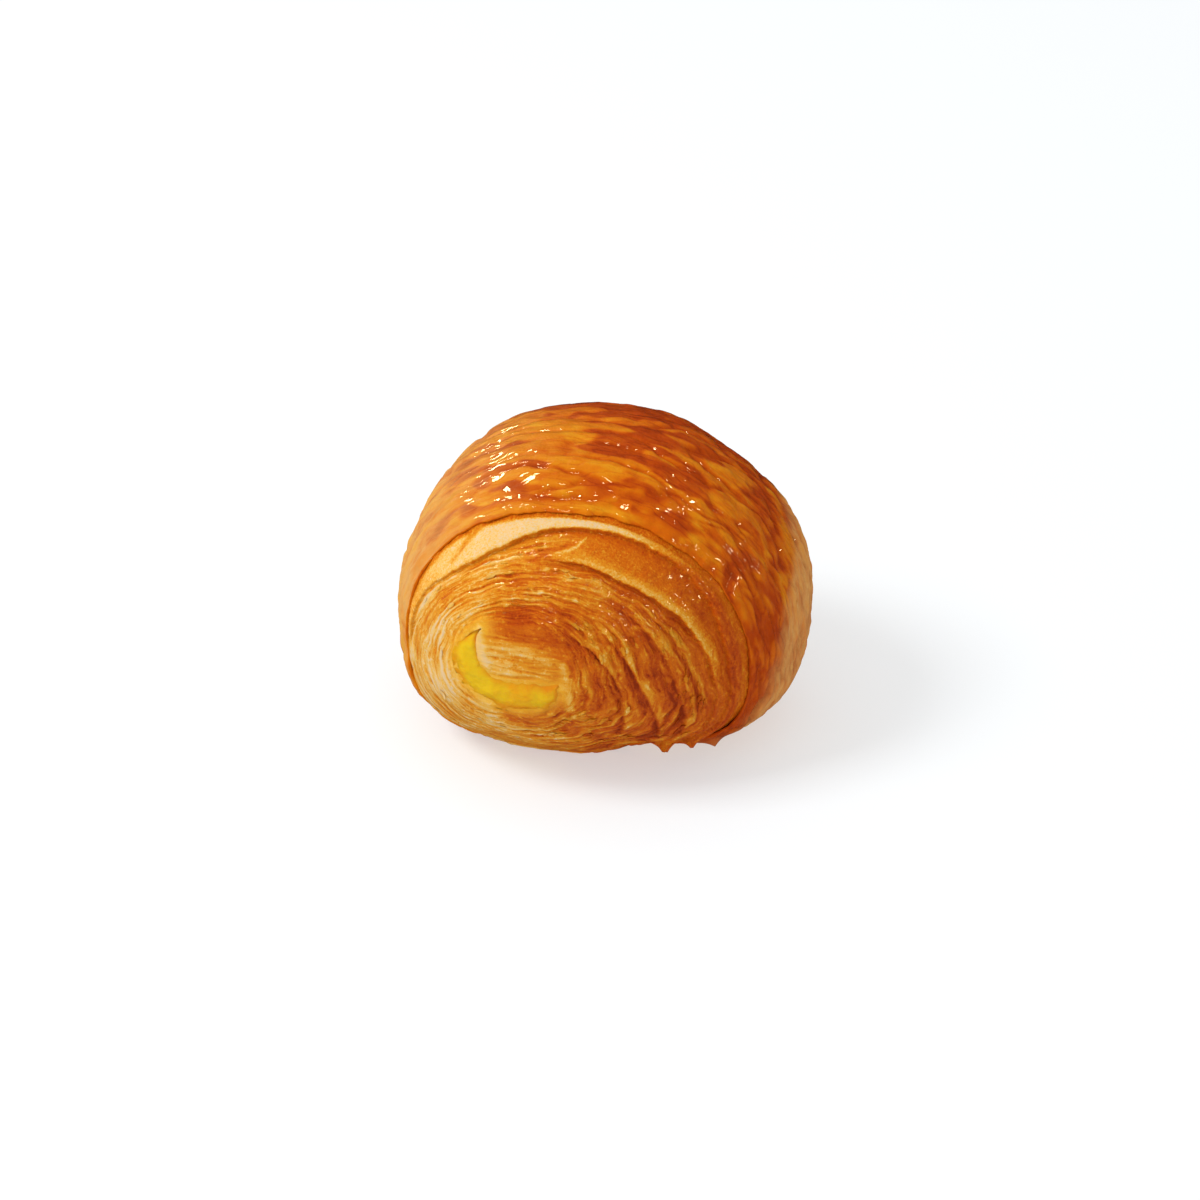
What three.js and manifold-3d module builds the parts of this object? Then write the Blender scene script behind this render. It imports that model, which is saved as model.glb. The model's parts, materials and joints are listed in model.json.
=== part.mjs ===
// A small custard-filled roll of laminated dough, baked and glazed.
// The dough lies on its seam with the roll's axis along Y. In the oven the inner wraps slid out of
// the outer ones, so each end is a low stepped dome of leaf edges round a flat tongue of dough,
// with the custard lying in a hook round the tongue from one end of the roll to the other.
// Units are millimetres, +Z is up, and the end that shows its custard best faces -Y.
import * as THREE from "three";
import { mergeVertices } from "three/addons/utils/BufferGeometryUtils.js";
import Module from "manifold-3d";

// Outer form of the roll
const REACH_LEFT = 29.6; // from the axis to the widest point at -X
const REACH_RIGHT = 30.4; // from the axis to the widest point at +X
const HEIGHT = 47.4; // from the floor to the crown
const AXIS_HEIGHT = 18.3; // of the outer wrap's middle
const BELLY = 1.12; // depth of the underside below the axis, as a share of AXIS_HEIGHT, before it is cut flat
const BODY_LENGTH = 31.6; // from rim to rim of the outer wrap
const BARREL = 2.7; // how square the body is along its length
const RIM_SCALE = 0.85; // size of the section at each rim against the middle
const SQUARE_LEFT = 2.2; // exponents of the rounded section: upper left, upper right, underside
const SQUARE_RIGHT = 2.06;
const SQUARE_UNDER = 2.6;

// The two domed ends
const NEAR_BULGE = 13.3; // how far the leaves stand out of the rim at -Y
const FAR_BULGE = 10.2; // and at +Y
const DOME = 1.92; // exponent of the dome's profile
const RIM_SKEW = 0.11; // the near rim lies further back to the right

// The core of the spiral, which both ends share
const CORE_X = -5.45;
const CORE_Z = 23.4;
const CORE_HALF_WIDTH = 8.4;
const CORE_HALF_HEIGHT = 7.7;
const CORE_SHARE = 0.22; // the core ring's place on the way from the middle (0) to the rim (1)

// Steps between wraps and between leaves
const RIM_STEP = 1.1;
const SECOND_WRAP_STEP = 0.9;
const THIRD_WRAP_STEP = 0.75;
const LEAF_STEP = 0.5;
const NEAR_LEAVES = 6;
const FAR_LEAVES = 4;
const STEP_RUN = 0.008; // half the width of a step, as a share of the way to the rim

// Pointed leaf tips that hang out at the lower right of the near end
const TIP_REACH = 2.3;
const TIP_SPREAD = 3.2; // degrees

// The custard, which lies between a squarish tongue of dough and the oval wrap round it
const TONGUE = { x: -4.6, z: 25.6, halfWidth: 6.4, halfHeight: 5.1, power: 3.2 };
const HOOK = { x: -5.2, z: 23.2, halfWidth: 9.2, halfHeight: 7.7, power: 2 };
const TONGUE_FROM = 146; // degrees round the tongue, from the custard's thin upper end
const TONGUE_TO = 322; // to its blunt end at the lower right
const HOOK_FROM = 134; // and the same round the wrap
const HOOK_TO = 311;
const CUSTARD_RECESS = 1.1; // how far its ends lie behind the core's face
const CLEARANCE = 0.3; // between the custard and the dough

const COLUMNS = 84; // round the roll
const BODY_ROWS = 8;
const FLOOR_CUT = 100; // side of the block that cuts the underside flat

const DEGREE = Math.PI / 180;

// A smooth bump round an angle, 1 at its middle.
function bump(degrees, middle, spread) {
  const away = ((degrees - middle + 540) % 360) - 180;
  return Math.exp(-((away / spread) ** 2));
}

// A point of a rounded section whose four half-axes differ, as {x, z} from its middle.
function roundedSection(degrees, left, right, up, down, powers) {
  const c = Math.cos(degrees * DEGREE);
  const s = Math.sin(degrees * DEGREE);
  const across = c >= 0 ? right : left;
  const along = s >= 0 ? up : down;
  const power = s < 0 ? powers.under : c >= 0 ? powers.right : powers.left;
  const reach = (Math.abs(c / across) ** power + Math.abs(s / along) ** power) ** (-1 / power);
  return { x: reach * c, z: reach * s };
}

// The section at the roll's fullest.
function outerSection(degrees) {
  const powers = { left: SQUARE_LEFT, right: SQUARE_RIGHT, under: SQUARE_UNDER };
  return roundedSection(
    degrees,
    REACH_LEFT,
    REACH_RIGHT,
    HEIGHT - AXIS_HEIGHT,
    AXIS_HEIGHT * BELLY,
    powers,
  );
}

// The ring that the custard's hook just fills.
function coreSection(degrees) {
  const powers = { left: 2.4, right: 2.4, under: 2.4 };
  return roundedSection(
    degrees,
    CORE_HALF_WIDTH,
    CORE_HALF_WIDTH,
    CORE_HALF_HEIGHT,
    CORE_HALF_HEIGHT,
    powers,
  );
}

// Where the underside tucks in at the lower right of the near end.
function tuck(degrees) {
  return 0.13 * bump(degrees, 306, 20);
}

// A point of the smooth dome at either end: share 0 is the core's middle and 1 the rim.
function domePoint(share, degrees, end) {
  const outer = outerSection(degrees);
  const core = coreSection(degrees);
  const out = Math.max(0, (share - CORE_SHARE) / (1 - CORE_SHARE));
  const within = Math.min(1, share / CORE_SHARE);
  const rim = RIM_SCALE * (1 - (end < 0 ? tuck(degrees) : 0));
  const x = CORE_X * (1 - out) + core.x * within * (1 - out) + rim * outer.x * out;
  const z =
    CORE_Z * (1 - out) + AXIS_HEIGHT * out + core.z * within * (1 - out) + rim * outer.z * out;
  const bulge = end < 0 ? NEAR_BULGE : FAR_BULGE;
  const skew = end < 0 ? RIM_SKEW * x * out : 0;
  const y = end * (BODY_LENGTH / 2 + bulge * (1 - share ** DOME)) + skew;
  return new THREE.Vector3(x, y, z);
}

// A point of the outer wrap between its rims: along 0 is the near rim and 1 the far rim.
function bodyPoint(along, degrees) {
  const outer = outerSection(degrees);
  const nearY = domePoint(1, degrees, -1).y;
  const farY = domePoint(1, degrees, 1).y;
  const narrowing = (1 - RIM_SCALE) * Math.abs(2 * along - 1) ** BARREL;
  const dents =
    0.03 * bump(degrees, 57, 13) * bump(along * 100, 92, 22) +
    0.02 * bump(degrees, 108, 10) * bump(along * 100, 97, 18) -
    0.015 * bump(degrees, 22, 16) * bump(along * 100, 70, 25);
  const size = (1 - narrowing - dents) * (1 - tuck(degrees) * (1 - along) ** 2);
  return new THREE.Vector3(
    size * outer.x,
    nearY + (farY - nearY) * along,
    AXIS_HEIGHT + size * outer.z,
  );
}

// The outward direction of the dome at one end, by small differences.
function domeOutward(share, degrees, end) {
  const h = 0.004;
  const away = domePoint(share + h, degrees, end).sub(domePoint(share - h, degrees, end));
  const round = domePoint(share, degrees + 1, end).sub(domePoint(share, degrees - 1, end));
  return round.cross(away).normalize().multiplyScalar(end);
}

// Lines where one wrap's edge lies over the next, as shares of the way to the rim.
const nearSecondWrap = (degrees) => 0.89 - 0.15 * bump(degrees, 122, 28);
const nearThirdWrap = (degrees) => 0.82 - 0.18 * bump(degrees, 95, 42);
const farSecondWrap = (degrees) => 0.86 - 0.1 * bump(degrees, 40, 45);

// The edge lines of one end from the core outwards, each with its line and the height of its step.
function edgeLines(end) {
  const leaves = end < 0 ? NEAR_LEAVES : FAR_LEAVES;
  const innermostWrap = end < 0 ? nearThirdWrap : farSecondWrap;
  const lines = [];
  for (let i = 1; i <= leaves; i += 1) {
    const place = i / (leaves + 1);
    lines.push({
      line: (degrees) =>
        CORE_SHARE +
        0.02 +
        (innermostWrap(degrees) - CORE_SHARE - 0.02) *
          (place + 0.02 * Math.sin(3 * degrees * DEGREE + 1.7 * i)),
      step: LEAF_STEP,
    });
  }
  if (end < 0) {
    lines.push({ line: nearThirdWrap, step: THIRD_WRAP_STEP });
    lines.push({ line: nearSecondWrap, step: SECOND_WRAP_STEP });
  } else {
    lines.push({ line: farSecondWrap, step: SECOND_WRAP_STEP });
  }
  lines.push({ line: () => 1 - STEP_RUN, step: RIM_STEP });
  return lines;
}

// A leaf tip hangs out of each of the three outermost edges, a little further round on each.
const TIP_ANGLES = [326, 322, 318];
function tipReach(degrees, stepsFromRim) {
  if (stepsFromRim >= TIP_ANGLES.length) return 0;
  return TIP_REACH * bump(degrees, TIP_ANGLES[stepsFromRim], TIP_SPREAD);
}

// The rows of one end from the core outwards. Every wrap rises towards its edge, and drops there.
function domeRows(end) {
  const lines = edgeLines(end);
  const rows = [];
  const addRow = (shareAt, heightAt) => {
    rows.push((degrees) => {
      const share = shareAt(degrees);
      const direction = domeOutward(share, degrees, end);
      return domePoint(share, degrees, end).addScaledVector(direction, heightAt(degrees));
    });
  };
  for (const share of [0.07, 0.14, CORE_SHARE]) {
    addRow(
      () => share,
      () => 0,
    );
  }
  lines.forEach(({ line, step }, i) => {
    const fromRim = lines.length - 1 - i;
    const tip = (degrees) => (end < 0 ? tipReach(degrees, fromRim) : 0);
    addRow(
      (degrees) => line(degrees) - STEP_RUN,
      () => -step,
    );
    addRow(
      (degrees) => line(degrees) + STEP_RUN,
      (degrees) => tip(degrees),
    );
    const next = lines[i + 1];
    if (next) {
      addRow(
        (degrees) => (line(degrees) + next.line(degrees)) / 2,
        () => -next.step / 2,
      );
    }
  });
  return rows;
}

// A closed skin through rows of points, from one pole to the other.
function skinThroughRows(rows, firstPole, lastPole) {
  const positions = [firstPole.x, firstPole.y, firstPole.z];
  for (const row of rows) {
    for (let column = 0; column < COLUMNS; column += 1) {
      const point = row((360 * column) / COLUMNS);
      positions.push(point.x, point.y, point.z);
    }
  }
  positions.push(lastPole.x, lastPole.y, lastPole.z);
  const last = positions.length / 3 - 1;
  const at = (row, column) => 1 + row * COLUMNS + (column % COLUMNS);
  const index = [];
  for (let column = 0; column < COLUMNS; column += 1) {
    index.push(0, at(0, column), at(0, column + 1));
    index.push(last, at(rows.length - 1, column + 1), at(rows.length - 1, column));
    for (let row = 0; row < rows.length - 1; row += 1) {
      index.push(at(row, column), at(row + 1, column), at(row, column + 1));
      index.push(at(row + 1, column), at(row + 1, column + 1), at(row, column + 1));
    }
  }
  const geometry = new THREE.BufferGeometry();
  geometry.setAttribute("position", new THREE.Float32BufferAttribute(positions, 3));
  geometry.setIndex(index);
  return geometry;
}

// The whole roll of dough, before its underside and the custard's channel are cut.
function rollOfDough() {
  const near = domeRows(-1);
  const far = domeRows(1).reverse();
  const body = [];
  for (let i = 1; i <= BODY_ROWS; i += 1) {
    const along = i / (BODY_ROWS + 1);
    body.push((degrees) => bodyPoint(along, degrees));
  }
  const nearPole = domePoint(0, 0, -1);
  const farPole = domePoint(0, 0, 1);
  return skinThroughRows([...near, ...body, ...far], nearPole, farPole);
}

// Points along part of an oval.
function ovalArc(oval, from, to, count) {
  const powers = { left: oval.power, right: oval.power, under: oval.power };
  const points = [];
  for (let i = 0; i <= count; i += 1) {
    const degrees = from + ((to - from) * i) / count;
    const place = roundedSection(
      degrees,
      oval.halfWidth,
      oval.halfWidth,
      oval.halfHeight,
      oval.halfHeight,
      powers,
    );
    points.push(new THREE.Vector2(oval.x + place.x, oval.z + place.z));
  }
  return points;
}

// A closed outline that runs anticlockwise, with every side pushed out by the same amount.
function grown(points, amount) {
  const sideNormal = (from, to) => {
    const side = to.clone().sub(from).normalize();
    return new THREE.Vector2(side.y, -side.x);
  };
  return points.map((point, i) => {
    const before = sideNormal(points[(i + points.length - 1) % points.length], point);
    const after = sideNormal(point, points[(i + 1) % points.length]);
    const corner = before.clone().add(after).divideScalar(1 + before.dot(after));
    return point.clone().addScaledVector(corner, amount);
  });
}

// The custard's hook as a flat outline, swollen by a given amount.
function custardOutline(swell) {
  const outside = ovalArc(HOOK, HOOK_FROM, HOOK_TO, 20);
  const inside = ovalArc(TONGUE, TONGUE_TO, TONGUE_FROM, 22);
  return new THREE.Shape(grown([...outside, ...inside], swell));
}

// A bar of the custard's outline along Y, between two places on the roll's axis.
function custardBar(swell, fromY, toY) {
  const geometry = new THREE.ExtrudeGeometry(custardOutline(swell), {
    depth: toY - fromY,
    bevelEnabled: false,
    steps: 1,
  });
  // The outline was drawn in X and Z with Z as its second axis, and it is extruded towards +Y.
  geometry.rotateX(Math.PI / 2);
  geometry.translate(0, toY, 0);
  return geometry;
}

const wasm = await Module();
wasm.setup();

// A closed geometry as a solid that can be cut.
function toSolid(geometry) {
  const bare = geometry.clone();
  bare.deleteAttribute("normal");
  bare.deleteAttribute("uv");
  const merged = mergeVertices(bare, 1e-4);
  return new wasm.Manifold(
    new wasm.Mesh({
      numProp: 3,
      vertProperties: merged.attributes.position.array,
      triVerts: new Uint32Array(merged.index.array),
    }),
  );
}

// A solid as a geometry with flat faces.
function toGeometry(solid) {
  const mesh = solid.getMesh();
  const geometry = new THREE.BufferGeometry();
  geometry.setAttribute("position", new THREE.Float32BufferAttribute(mesh.vertProperties, 3));
  geometry.setIndex([...mesh.triVerts]);
  const flat = geometry.toNonIndexed();
  flat.computeVertexNormals();
  return flat;
}

const nearFaceY = domePoint(CORE_SHARE, 0, -1).y;
const farFaceY = domePoint(CORE_SHARE, 0, 1).y;

const floorBlock = new THREE.BoxGeometry(FLOOR_CUT, FLOOR_CUT, FLOOR_CUT);
floorBlock.translate(0, 0, -FLOOR_CUT / 2);
const channel = custardBar(CLEARANCE, nearFaceY - FLOOR_CUT / 2, farFaceY + FLOOR_CUT / 2);
const dough = toSolid(rollOfDough()).subtract(toSolid(floorBlock)).subtract(toSolid(channel));

const pastryMaterial = new THREE.MeshStandardMaterial({
  name: "baked_dough",
  color: new THREE.Color(0.72, 0.36, 0.1),
  roughness: 0.42,
  metalness: 0,
});
const pastry = new THREE.Mesh(toGeometry(dough), pastryMaterial);
pastry.name = "pastry";

const custardMaterial = new THREE.MeshStandardMaterial({
  name: "custard",
  color: new THREE.Color(0.88, 0.68, 0.06),
  roughness: 0.25,
  metalness: 0,
});
const custard = new THREE.Mesh(
  custardBar(0, nearFaceY + CUSTARD_RECESS, farFaceY - CUSTARD_RECESS),
  custardMaterial,
);
custard.name = "custard";

// The group's origin is under the middle of the whole roll, on the floor.
const roll = new THREE.Group();
roll.add(pastry, custard);
const box = new THREE.Box3().setFromObject(roll);
roll.position.set(-(box.min.x + box.max.x) / 2, -(box.min.y + box.max.y) / 2, 0);

export default roll;
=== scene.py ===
"""A small custard-filled roll of laminated dough, dressed for rendering.

The frame holds the roll as plain solids. This file builds the surfaces that are seen: the glazed
outer wrap, the leaf edges that slid out at both ends, the custard's hook and the loose shreds of
leaf.

Lengths are in millimetres until a mesh is made, and every mesh is in metres in the frame's own
axes: +X across the roll, +Y along its axis away from the end that shows its custard best, +Z up.
A place on an end is given by its share of the way from the core (0) to the rim (1) and by its
angle round the core in degrees, anticlockwise from +X as seen from the near end.
"""

import json
import logging
import math
from collections.abc import Sequence
from dataclasses import dataclass, field
from enum import Enum
from functools import partial
from typing import Any

import bpy
import numpy as np
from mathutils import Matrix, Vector
from mathutils.kdtree import KDTree

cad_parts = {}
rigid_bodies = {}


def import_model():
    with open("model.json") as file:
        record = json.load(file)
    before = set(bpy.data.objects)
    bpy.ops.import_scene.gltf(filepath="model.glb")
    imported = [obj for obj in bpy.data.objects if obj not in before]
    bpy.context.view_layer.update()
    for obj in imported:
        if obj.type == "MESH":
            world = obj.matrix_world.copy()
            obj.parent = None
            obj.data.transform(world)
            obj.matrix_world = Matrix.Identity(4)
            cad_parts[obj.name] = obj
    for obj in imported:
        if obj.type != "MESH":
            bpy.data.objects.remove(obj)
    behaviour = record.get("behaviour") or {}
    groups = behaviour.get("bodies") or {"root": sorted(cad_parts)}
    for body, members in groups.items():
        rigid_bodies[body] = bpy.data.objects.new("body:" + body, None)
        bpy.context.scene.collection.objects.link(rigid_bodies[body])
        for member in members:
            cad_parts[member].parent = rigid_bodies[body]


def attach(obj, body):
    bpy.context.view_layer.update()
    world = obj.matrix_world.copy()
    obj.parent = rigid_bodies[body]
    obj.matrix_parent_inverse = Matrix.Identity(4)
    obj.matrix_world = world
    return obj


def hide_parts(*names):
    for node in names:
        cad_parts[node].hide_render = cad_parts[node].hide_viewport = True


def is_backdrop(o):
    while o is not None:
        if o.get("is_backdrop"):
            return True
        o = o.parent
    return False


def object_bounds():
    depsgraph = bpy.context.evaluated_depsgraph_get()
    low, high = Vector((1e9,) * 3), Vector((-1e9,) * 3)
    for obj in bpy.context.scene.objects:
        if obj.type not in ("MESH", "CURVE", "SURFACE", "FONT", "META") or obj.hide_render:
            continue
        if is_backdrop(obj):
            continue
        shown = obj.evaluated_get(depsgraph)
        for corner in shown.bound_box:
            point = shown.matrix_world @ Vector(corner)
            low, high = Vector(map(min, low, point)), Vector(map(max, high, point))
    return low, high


LOG = logging.getLogger("custard_roll")
MM = 0.001

Array = np.ndarray
Colour = tuple[float, float, float]


class End(Enum):
    """One end of the roll, with the sign of its direction along Y."""

    NEAR = -1
    FAR = 1


class Slot(Enum):
    """The record's material slots."""

    DOUGH = "baked_dough"
    CUSTARD = "custard"


# Small mathematical helpers


def apart(degrees: Array, middle: float) -> Array:
    """Return how far angles lie from one angle, from -180 to 180 degrees."""
    return (degrees - middle + 540.0) % 360.0 - 180.0


def bump(value: Array, middle: float, spread: float) -> Array:
    """Return a smooth bump over angles in degrees, 1 at its middle.

    Args:
        value: Angles in degrees.
        middle: The angle where the bump is 1.
        spread: Degrees from the middle to where the bump has fallen to 0.37.

    Returns:
        The bump's height at each angle.
    """
    return np.exp(-((apart(value, middle) / spread) ** 2))


def swell(value: Array, middle: float, spread: float) -> Array:
    """Return a smooth bump over plain numbers, 1 at its middle."""
    return np.exp(-(((value - middle) / spread) ** 2))


def ease(value: Array, low: float, high: float) -> Array:
    """Return 0 below low and 1 above high, with a smooth rise between."""
    part = np.clip((value - low) / (high - low), 0.0, 1.0)
    return part * part * (3.0 - 2.0 * part)


def blend(first: Array, second: Array, share: Array) -> Array:
    """Return first where share is 0 and second where it is 1."""
    return first * (1.0 - share) + second * share


class Unevenness:
    """Smooth seeded noise in three dimensions, from about -1 to 1."""

    CELLS = 256
    GAIN = 1.7

    def __init__(self, seed: int) -> None:
        """Draw the lattice's slopes.

        Args:
            seed: The number that fixes every random draw.
        """
        draw = np.random.default_rng(seed)
        self.order = draw.permutation(self.CELLS)
        slopes = draw.normal(size=(self.CELLS, 3))
        self.slopes = slopes / np.linalg.norm(slopes, axis=1, keepdims=True)

    def at(self, x: Array, y: Array, z: Array) -> Array:
        """Return the noise at each point, whose lattice has a pitch of 1.

        Args:
            x: First coordinates.
            y: Second coordinates.
            z: Third coordinates.

        Returns:
            The noise, in the coordinates' common shape.
        """
        x, y, z = np.broadcast_arrays(x, y, z)
        place = np.stack([x, y, z], axis=-1).astype(float)
        cell = np.floor(place).astype(int)
        part = place - cell
        weight = part**3 * (part * (part * 6.0 - 15.0) + 10.0)
        total = np.zeros(x.shape)
        for corner in range(8):
            step = np.array([corner & 1, corner >> 1 & 1, corner >> 2 & 1])
            index = (cell + step) % self.CELLS
            drawn = self.order[index[..., 0]]
            drawn = self.order[(drawn + index[..., 1]) % self.CELLS]
            drawn = self.order[(drawn + index[..., 2]) % self.CELLS]
            rise = np.sum(self.slopes[drawn] * (part - step), axis=-1)
            share = np.prod(np.where(step == 1, weight, 1.0 - weight), axis=-1)
            total += rise * share
        return total * self.GAIN

    def over(self, points: Array, x: float, y: float, z: float) -> Array:
        """Return the noise over points, stretched to a length in mm along each axis."""
        return self.at(points[..., 0] / x, points[..., 1] / y, points[..., 2] / z)


# The smooth form of the roll


@dataclass(frozen=True)
class Oval:
    """A rounded outline in the XZ plane whose upper and lower halves may differ."""

    left: float
    right: float
    up: float
    down: float
    power_left: float
    power_right: float
    power_under: float

    def at(self, degrees: Array) -> tuple[Array, Array]:
        """Return the outline's x and z from its own middle at each angle."""
        cosine = np.cos(np.radians(degrees))
        sine = np.sin(np.radians(degrees))
        across = np.where(cosine >= 0, self.right, self.left)
        along = np.where(sine >= 0, self.up, self.down)
        upper = np.where(cosine >= 0, self.power_right, self.power_left)
        power = np.where(sine < 0, self.power_under, upper)
        reach = (np.abs(cosine / across) ** power + np.abs(sine / along) ** power) ** (-1 / power)
        return reach * cosine, reach * sine


def even_oval(half_width: float, half_height: float, power: float) -> Oval:
    """Return an outline that is the same on all sides."""
    return Oval(half_width, half_width, half_height, half_height, power, power, power)


@dataclass(frozen=True)
class RollForm:
    """The smooth form of the roll before any step, leaf or wrinkle, fitted to the frame's box."""

    width: float
    depth: float
    height: float
    axis_height_share: float = 0.386
    left_share: float = 0.4933
    near_share: float = 0.2414
    far_share: float = 0.1851
    belly: float = 1.12
    barrel: float = 2.7
    rim_scale: float = 0.85
    dome: float = 1.92
    skew: float = 0.11
    core_x: float = -5.45
    core_z: float = 23.4
    core: Oval = even_oval(8.4, 7.7, 2.4)
    core_share: float = 0.22
    small_share: float = 0.004

    @property
    def axis_height(self) -> float:
        """Height of the outer wrap's middle above the floor."""
        return self.height * self.axis_height_share

    @property
    def reach_left(self) -> float:
        """From the axis to the widest point at -X."""
        return self.width * self.left_share

    @property
    def body_length(self) -> float:
        """From rim to rim of the outer wrap."""
        return self.depth * (1.0 - self.near_share - self.far_share)

    @property
    def outer(self) -> Oval:
        """The section at the roll's fullest."""
        return Oval(
            left=self.reach_left,
            right=self.width - self.reach_left,
            up=self.height - self.axis_height,
            down=self.axis_height * self.belly,
            power_left=2.2,
            power_right=2.06,
            power_under=2.6,
        )

    def bulge(self, end: End) -> float:
        """How far the leaves of one end stand out of the rim."""
        return self.depth * (self.near_share if end is End.NEAR else self.far_share)

    @property
    def shift(self) -> Array:
        """From the roll's own axes to the frame's, whose origin is under the box's middle."""
        across = self.reach_left - self.width / 2
        along = (self.bulge(End.NEAR) - self.bulge(End.FAR)) / 2
        return np.array([across, along, 0.0])

    def tuck(self, degrees: Array) -> Array:
        """Return how far the near end's underside draws in, as a share of the rim."""
        return 0.13 * bump(degrees, 306.0, 20.0)

    def dome_point(self, share: Array, degrees: Array, end: End) -> Array:
        """Return points of the smooth dome at one end.

        Args:
            share: Shares of the way from the core's middle to the rim.
            degrees: Angles round the core.
            end: Which end.

        Returns:
            An array of points in mm, in the roll's own axes.
        """
        share, degrees = np.broadcast_arrays(share, degrees)
        outer_x, outer_z = self.outer.at(degrees)
        core_x, core_z = self.core.at(degrees)
        out = np.maximum(0.0, (share - self.core_share) / (1.0 - self.core_share))
        within = np.minimum(1.0, share / self.core_share)
        rim = self.rim_scale * (1.0 - (self.tuck(degrees) if end is End.NEAR else 0.0))
        x = self.core_x * (1 - out) + core_x * within * (1 - out) + rim * outer_x * out
        z = self.core_z * (1 - out) + self.axis_height * out
        z = z + core_z * within * (1 - out) + rim * outer_z * out
        rise = self.bulge(end) * (1.0 - np.abs(share) ** self.dome)
        y = end.value * (self.body_length / 2 + rise)
        if end is End.NEAR:
            y = y + self.skew * x * out
        return np.stack([x, y, z], axis=-1)

    def body_point(self, along: Array, degrees: Array) -> Array:
        """Return points of the outer wrap, from the near rim (0) to the far rim (1)."""
        along, degrees = np.broadcast_arrays(along, degrees)
        outer_x, outer_z = self.outer.at(degrees)
        near_y = self.dome_point(np.ones_like(degrees), degrees, End.NEAR)[..., 1]
        far_y = self.dome_point(np.ones_like(degrees), degrees, End.FAR)[..., 1]
        narrowing = (1 - self.rim_scale) * np.abs(2 * along - 1) ** self.barrel
        dents = 0.03 * bump(degrees, 57, 13) * swell(along, 0.92, 0.22)
        dents = dents + 0.02 * bump(degrees, 108, 10) * swell(along, 0.97, 0.18)
        dents = dents - 0.015 * bump(degrees, 22, 16) * swell(along, 0.70, 0.25)
        size = (1 - narrowing - dents) * (1 - self.tuck(degrees) * (1 - along) ** 2)
        y = near_y + (far_y - near_y) * along
        return np.stack([size * outer_x, y, self.axis_height + size * outer_z], axis=-1)

    def dome_outward(self, share: Array, degrees: Array, end: End) -> Array:
        """Return the dome's outward directions, by small differences."""
        step = self.small_share
        share = np.maximum(share, step)
        away = self.dome_point(share + step, degrees, end)
        away = away - self.dome_point(share - step, degrees, end)
        turn = self.dome_point(share, degrees + 1, end) - self.dome_point(share, degrees - 1, end)
        normal = np.cross(turn, away)
        length = np.linalg.norm(normal, axis=-1, keepdims=True)
        return end.value * normal / np.maximum(length, 1e-9)

    def body_outward(self, along: Array, degrees: Array) -> Array:
        """Return the outer wrap's outward directions, by small differences."""
        step = self.small_share
        away = self.body_point(along + step, degrees) - self.body_point(along - step, degrees)
        turn = self.body_point(along, degrees + 1) - self.body_point(along, degrees - 1)
        normal = np.cross(away, turn)
        return normal / np.linalg.norm(normal, axis=-1, keepdims=True)


# Meshes


@dataclass
class Skin:
    """Points and faces on their way to becoming a closed mesh, with values kept on the points."""

    points: Array
    quads: Array
    triangles: Array
    values: dict[str, Array] = field(default_factory=dict)

    def signed_volume(self) -> float:
        """Return the enclosed volume, which is negative where the faces point inwards."""
        halves = [self.quads[:, [0, 1, 2]], self.quads[:, [0, 2, 3]], self.triangles]
        corners = self.points[np.concatenate(halves)]
        cross = np.cross(corners[:, 1], corners[:, 2])
        return float(np.sum(corners[:, 0] * cross) / 6.0)

    def to_object(self, name: str, shift: Array) -> bpy.types.Object:
        """Make a Blender object whose faces point out.

        Args:
            name: The piece's name.
            shift: From the roll's own axes to the frame's, in mm.

        Returns:
            The linked object, at the origin, with its place in its mesh.
        """
        if self.signed_volume() < 0:
            self.quads = self.quads[:, ::-1]
            self.triangles = self.triangles[:, ::-1]
        mesh = bpy.data.meshes.new(name)
        mesh.vertices.add(len(self.points))
        mesh.vertices.foreach_set("co", ((self.points + shift) * MM).astype(np.float32).ravel())
        corners = np.concatenate([self.quads.ravel(), self.triangles.ravel()]).astype(np.int32)
        mesh.loops.add(len(corners))
        mesh.loops.foreach_set("vertex_index", corners)
        sizes = np.concatenate([np.full(len(self.quads), 4), np.full(len(self.triangles), 3)])
        starts = np.concatenate([[0], np.cumsum(sizes)[:-1]]).astype(np.int32)
        mesh.polygons.add(len(sizes))
        mesh.polygons.foreach_set("loop_start", starts)
        mesh.update(calc_edges=True)
        mesh.polygons.foreach_set("use_smooth", np.ones(len(sizes), dtype=bool))
        for key, value in self.values.items():
            store_values(mesh, key, value)
        mesh.validate()
        made = bpy.data.objects.new(name, mesh)
        bpy.context.scene.collection.objects.link(made)
        return made


def store_values(mesh: bpy.types.Mesh, name: str, values: Array) -> None:
    """Keep one number, or one direction, on each point of a mesh."""
    if values.ndim == 1:
        attribute = mesh.attributes.new(name, "FLOAT", "POINT")
        attribute.data.foreach_set("value", values.astype(np.float32))
        return
    attribute = mesh.attributes.new(name, "FLOAT_VECTOR", "POINT")
    attribute.data.foreach_set("vector", values.astype(np.float32).ravel())


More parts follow.
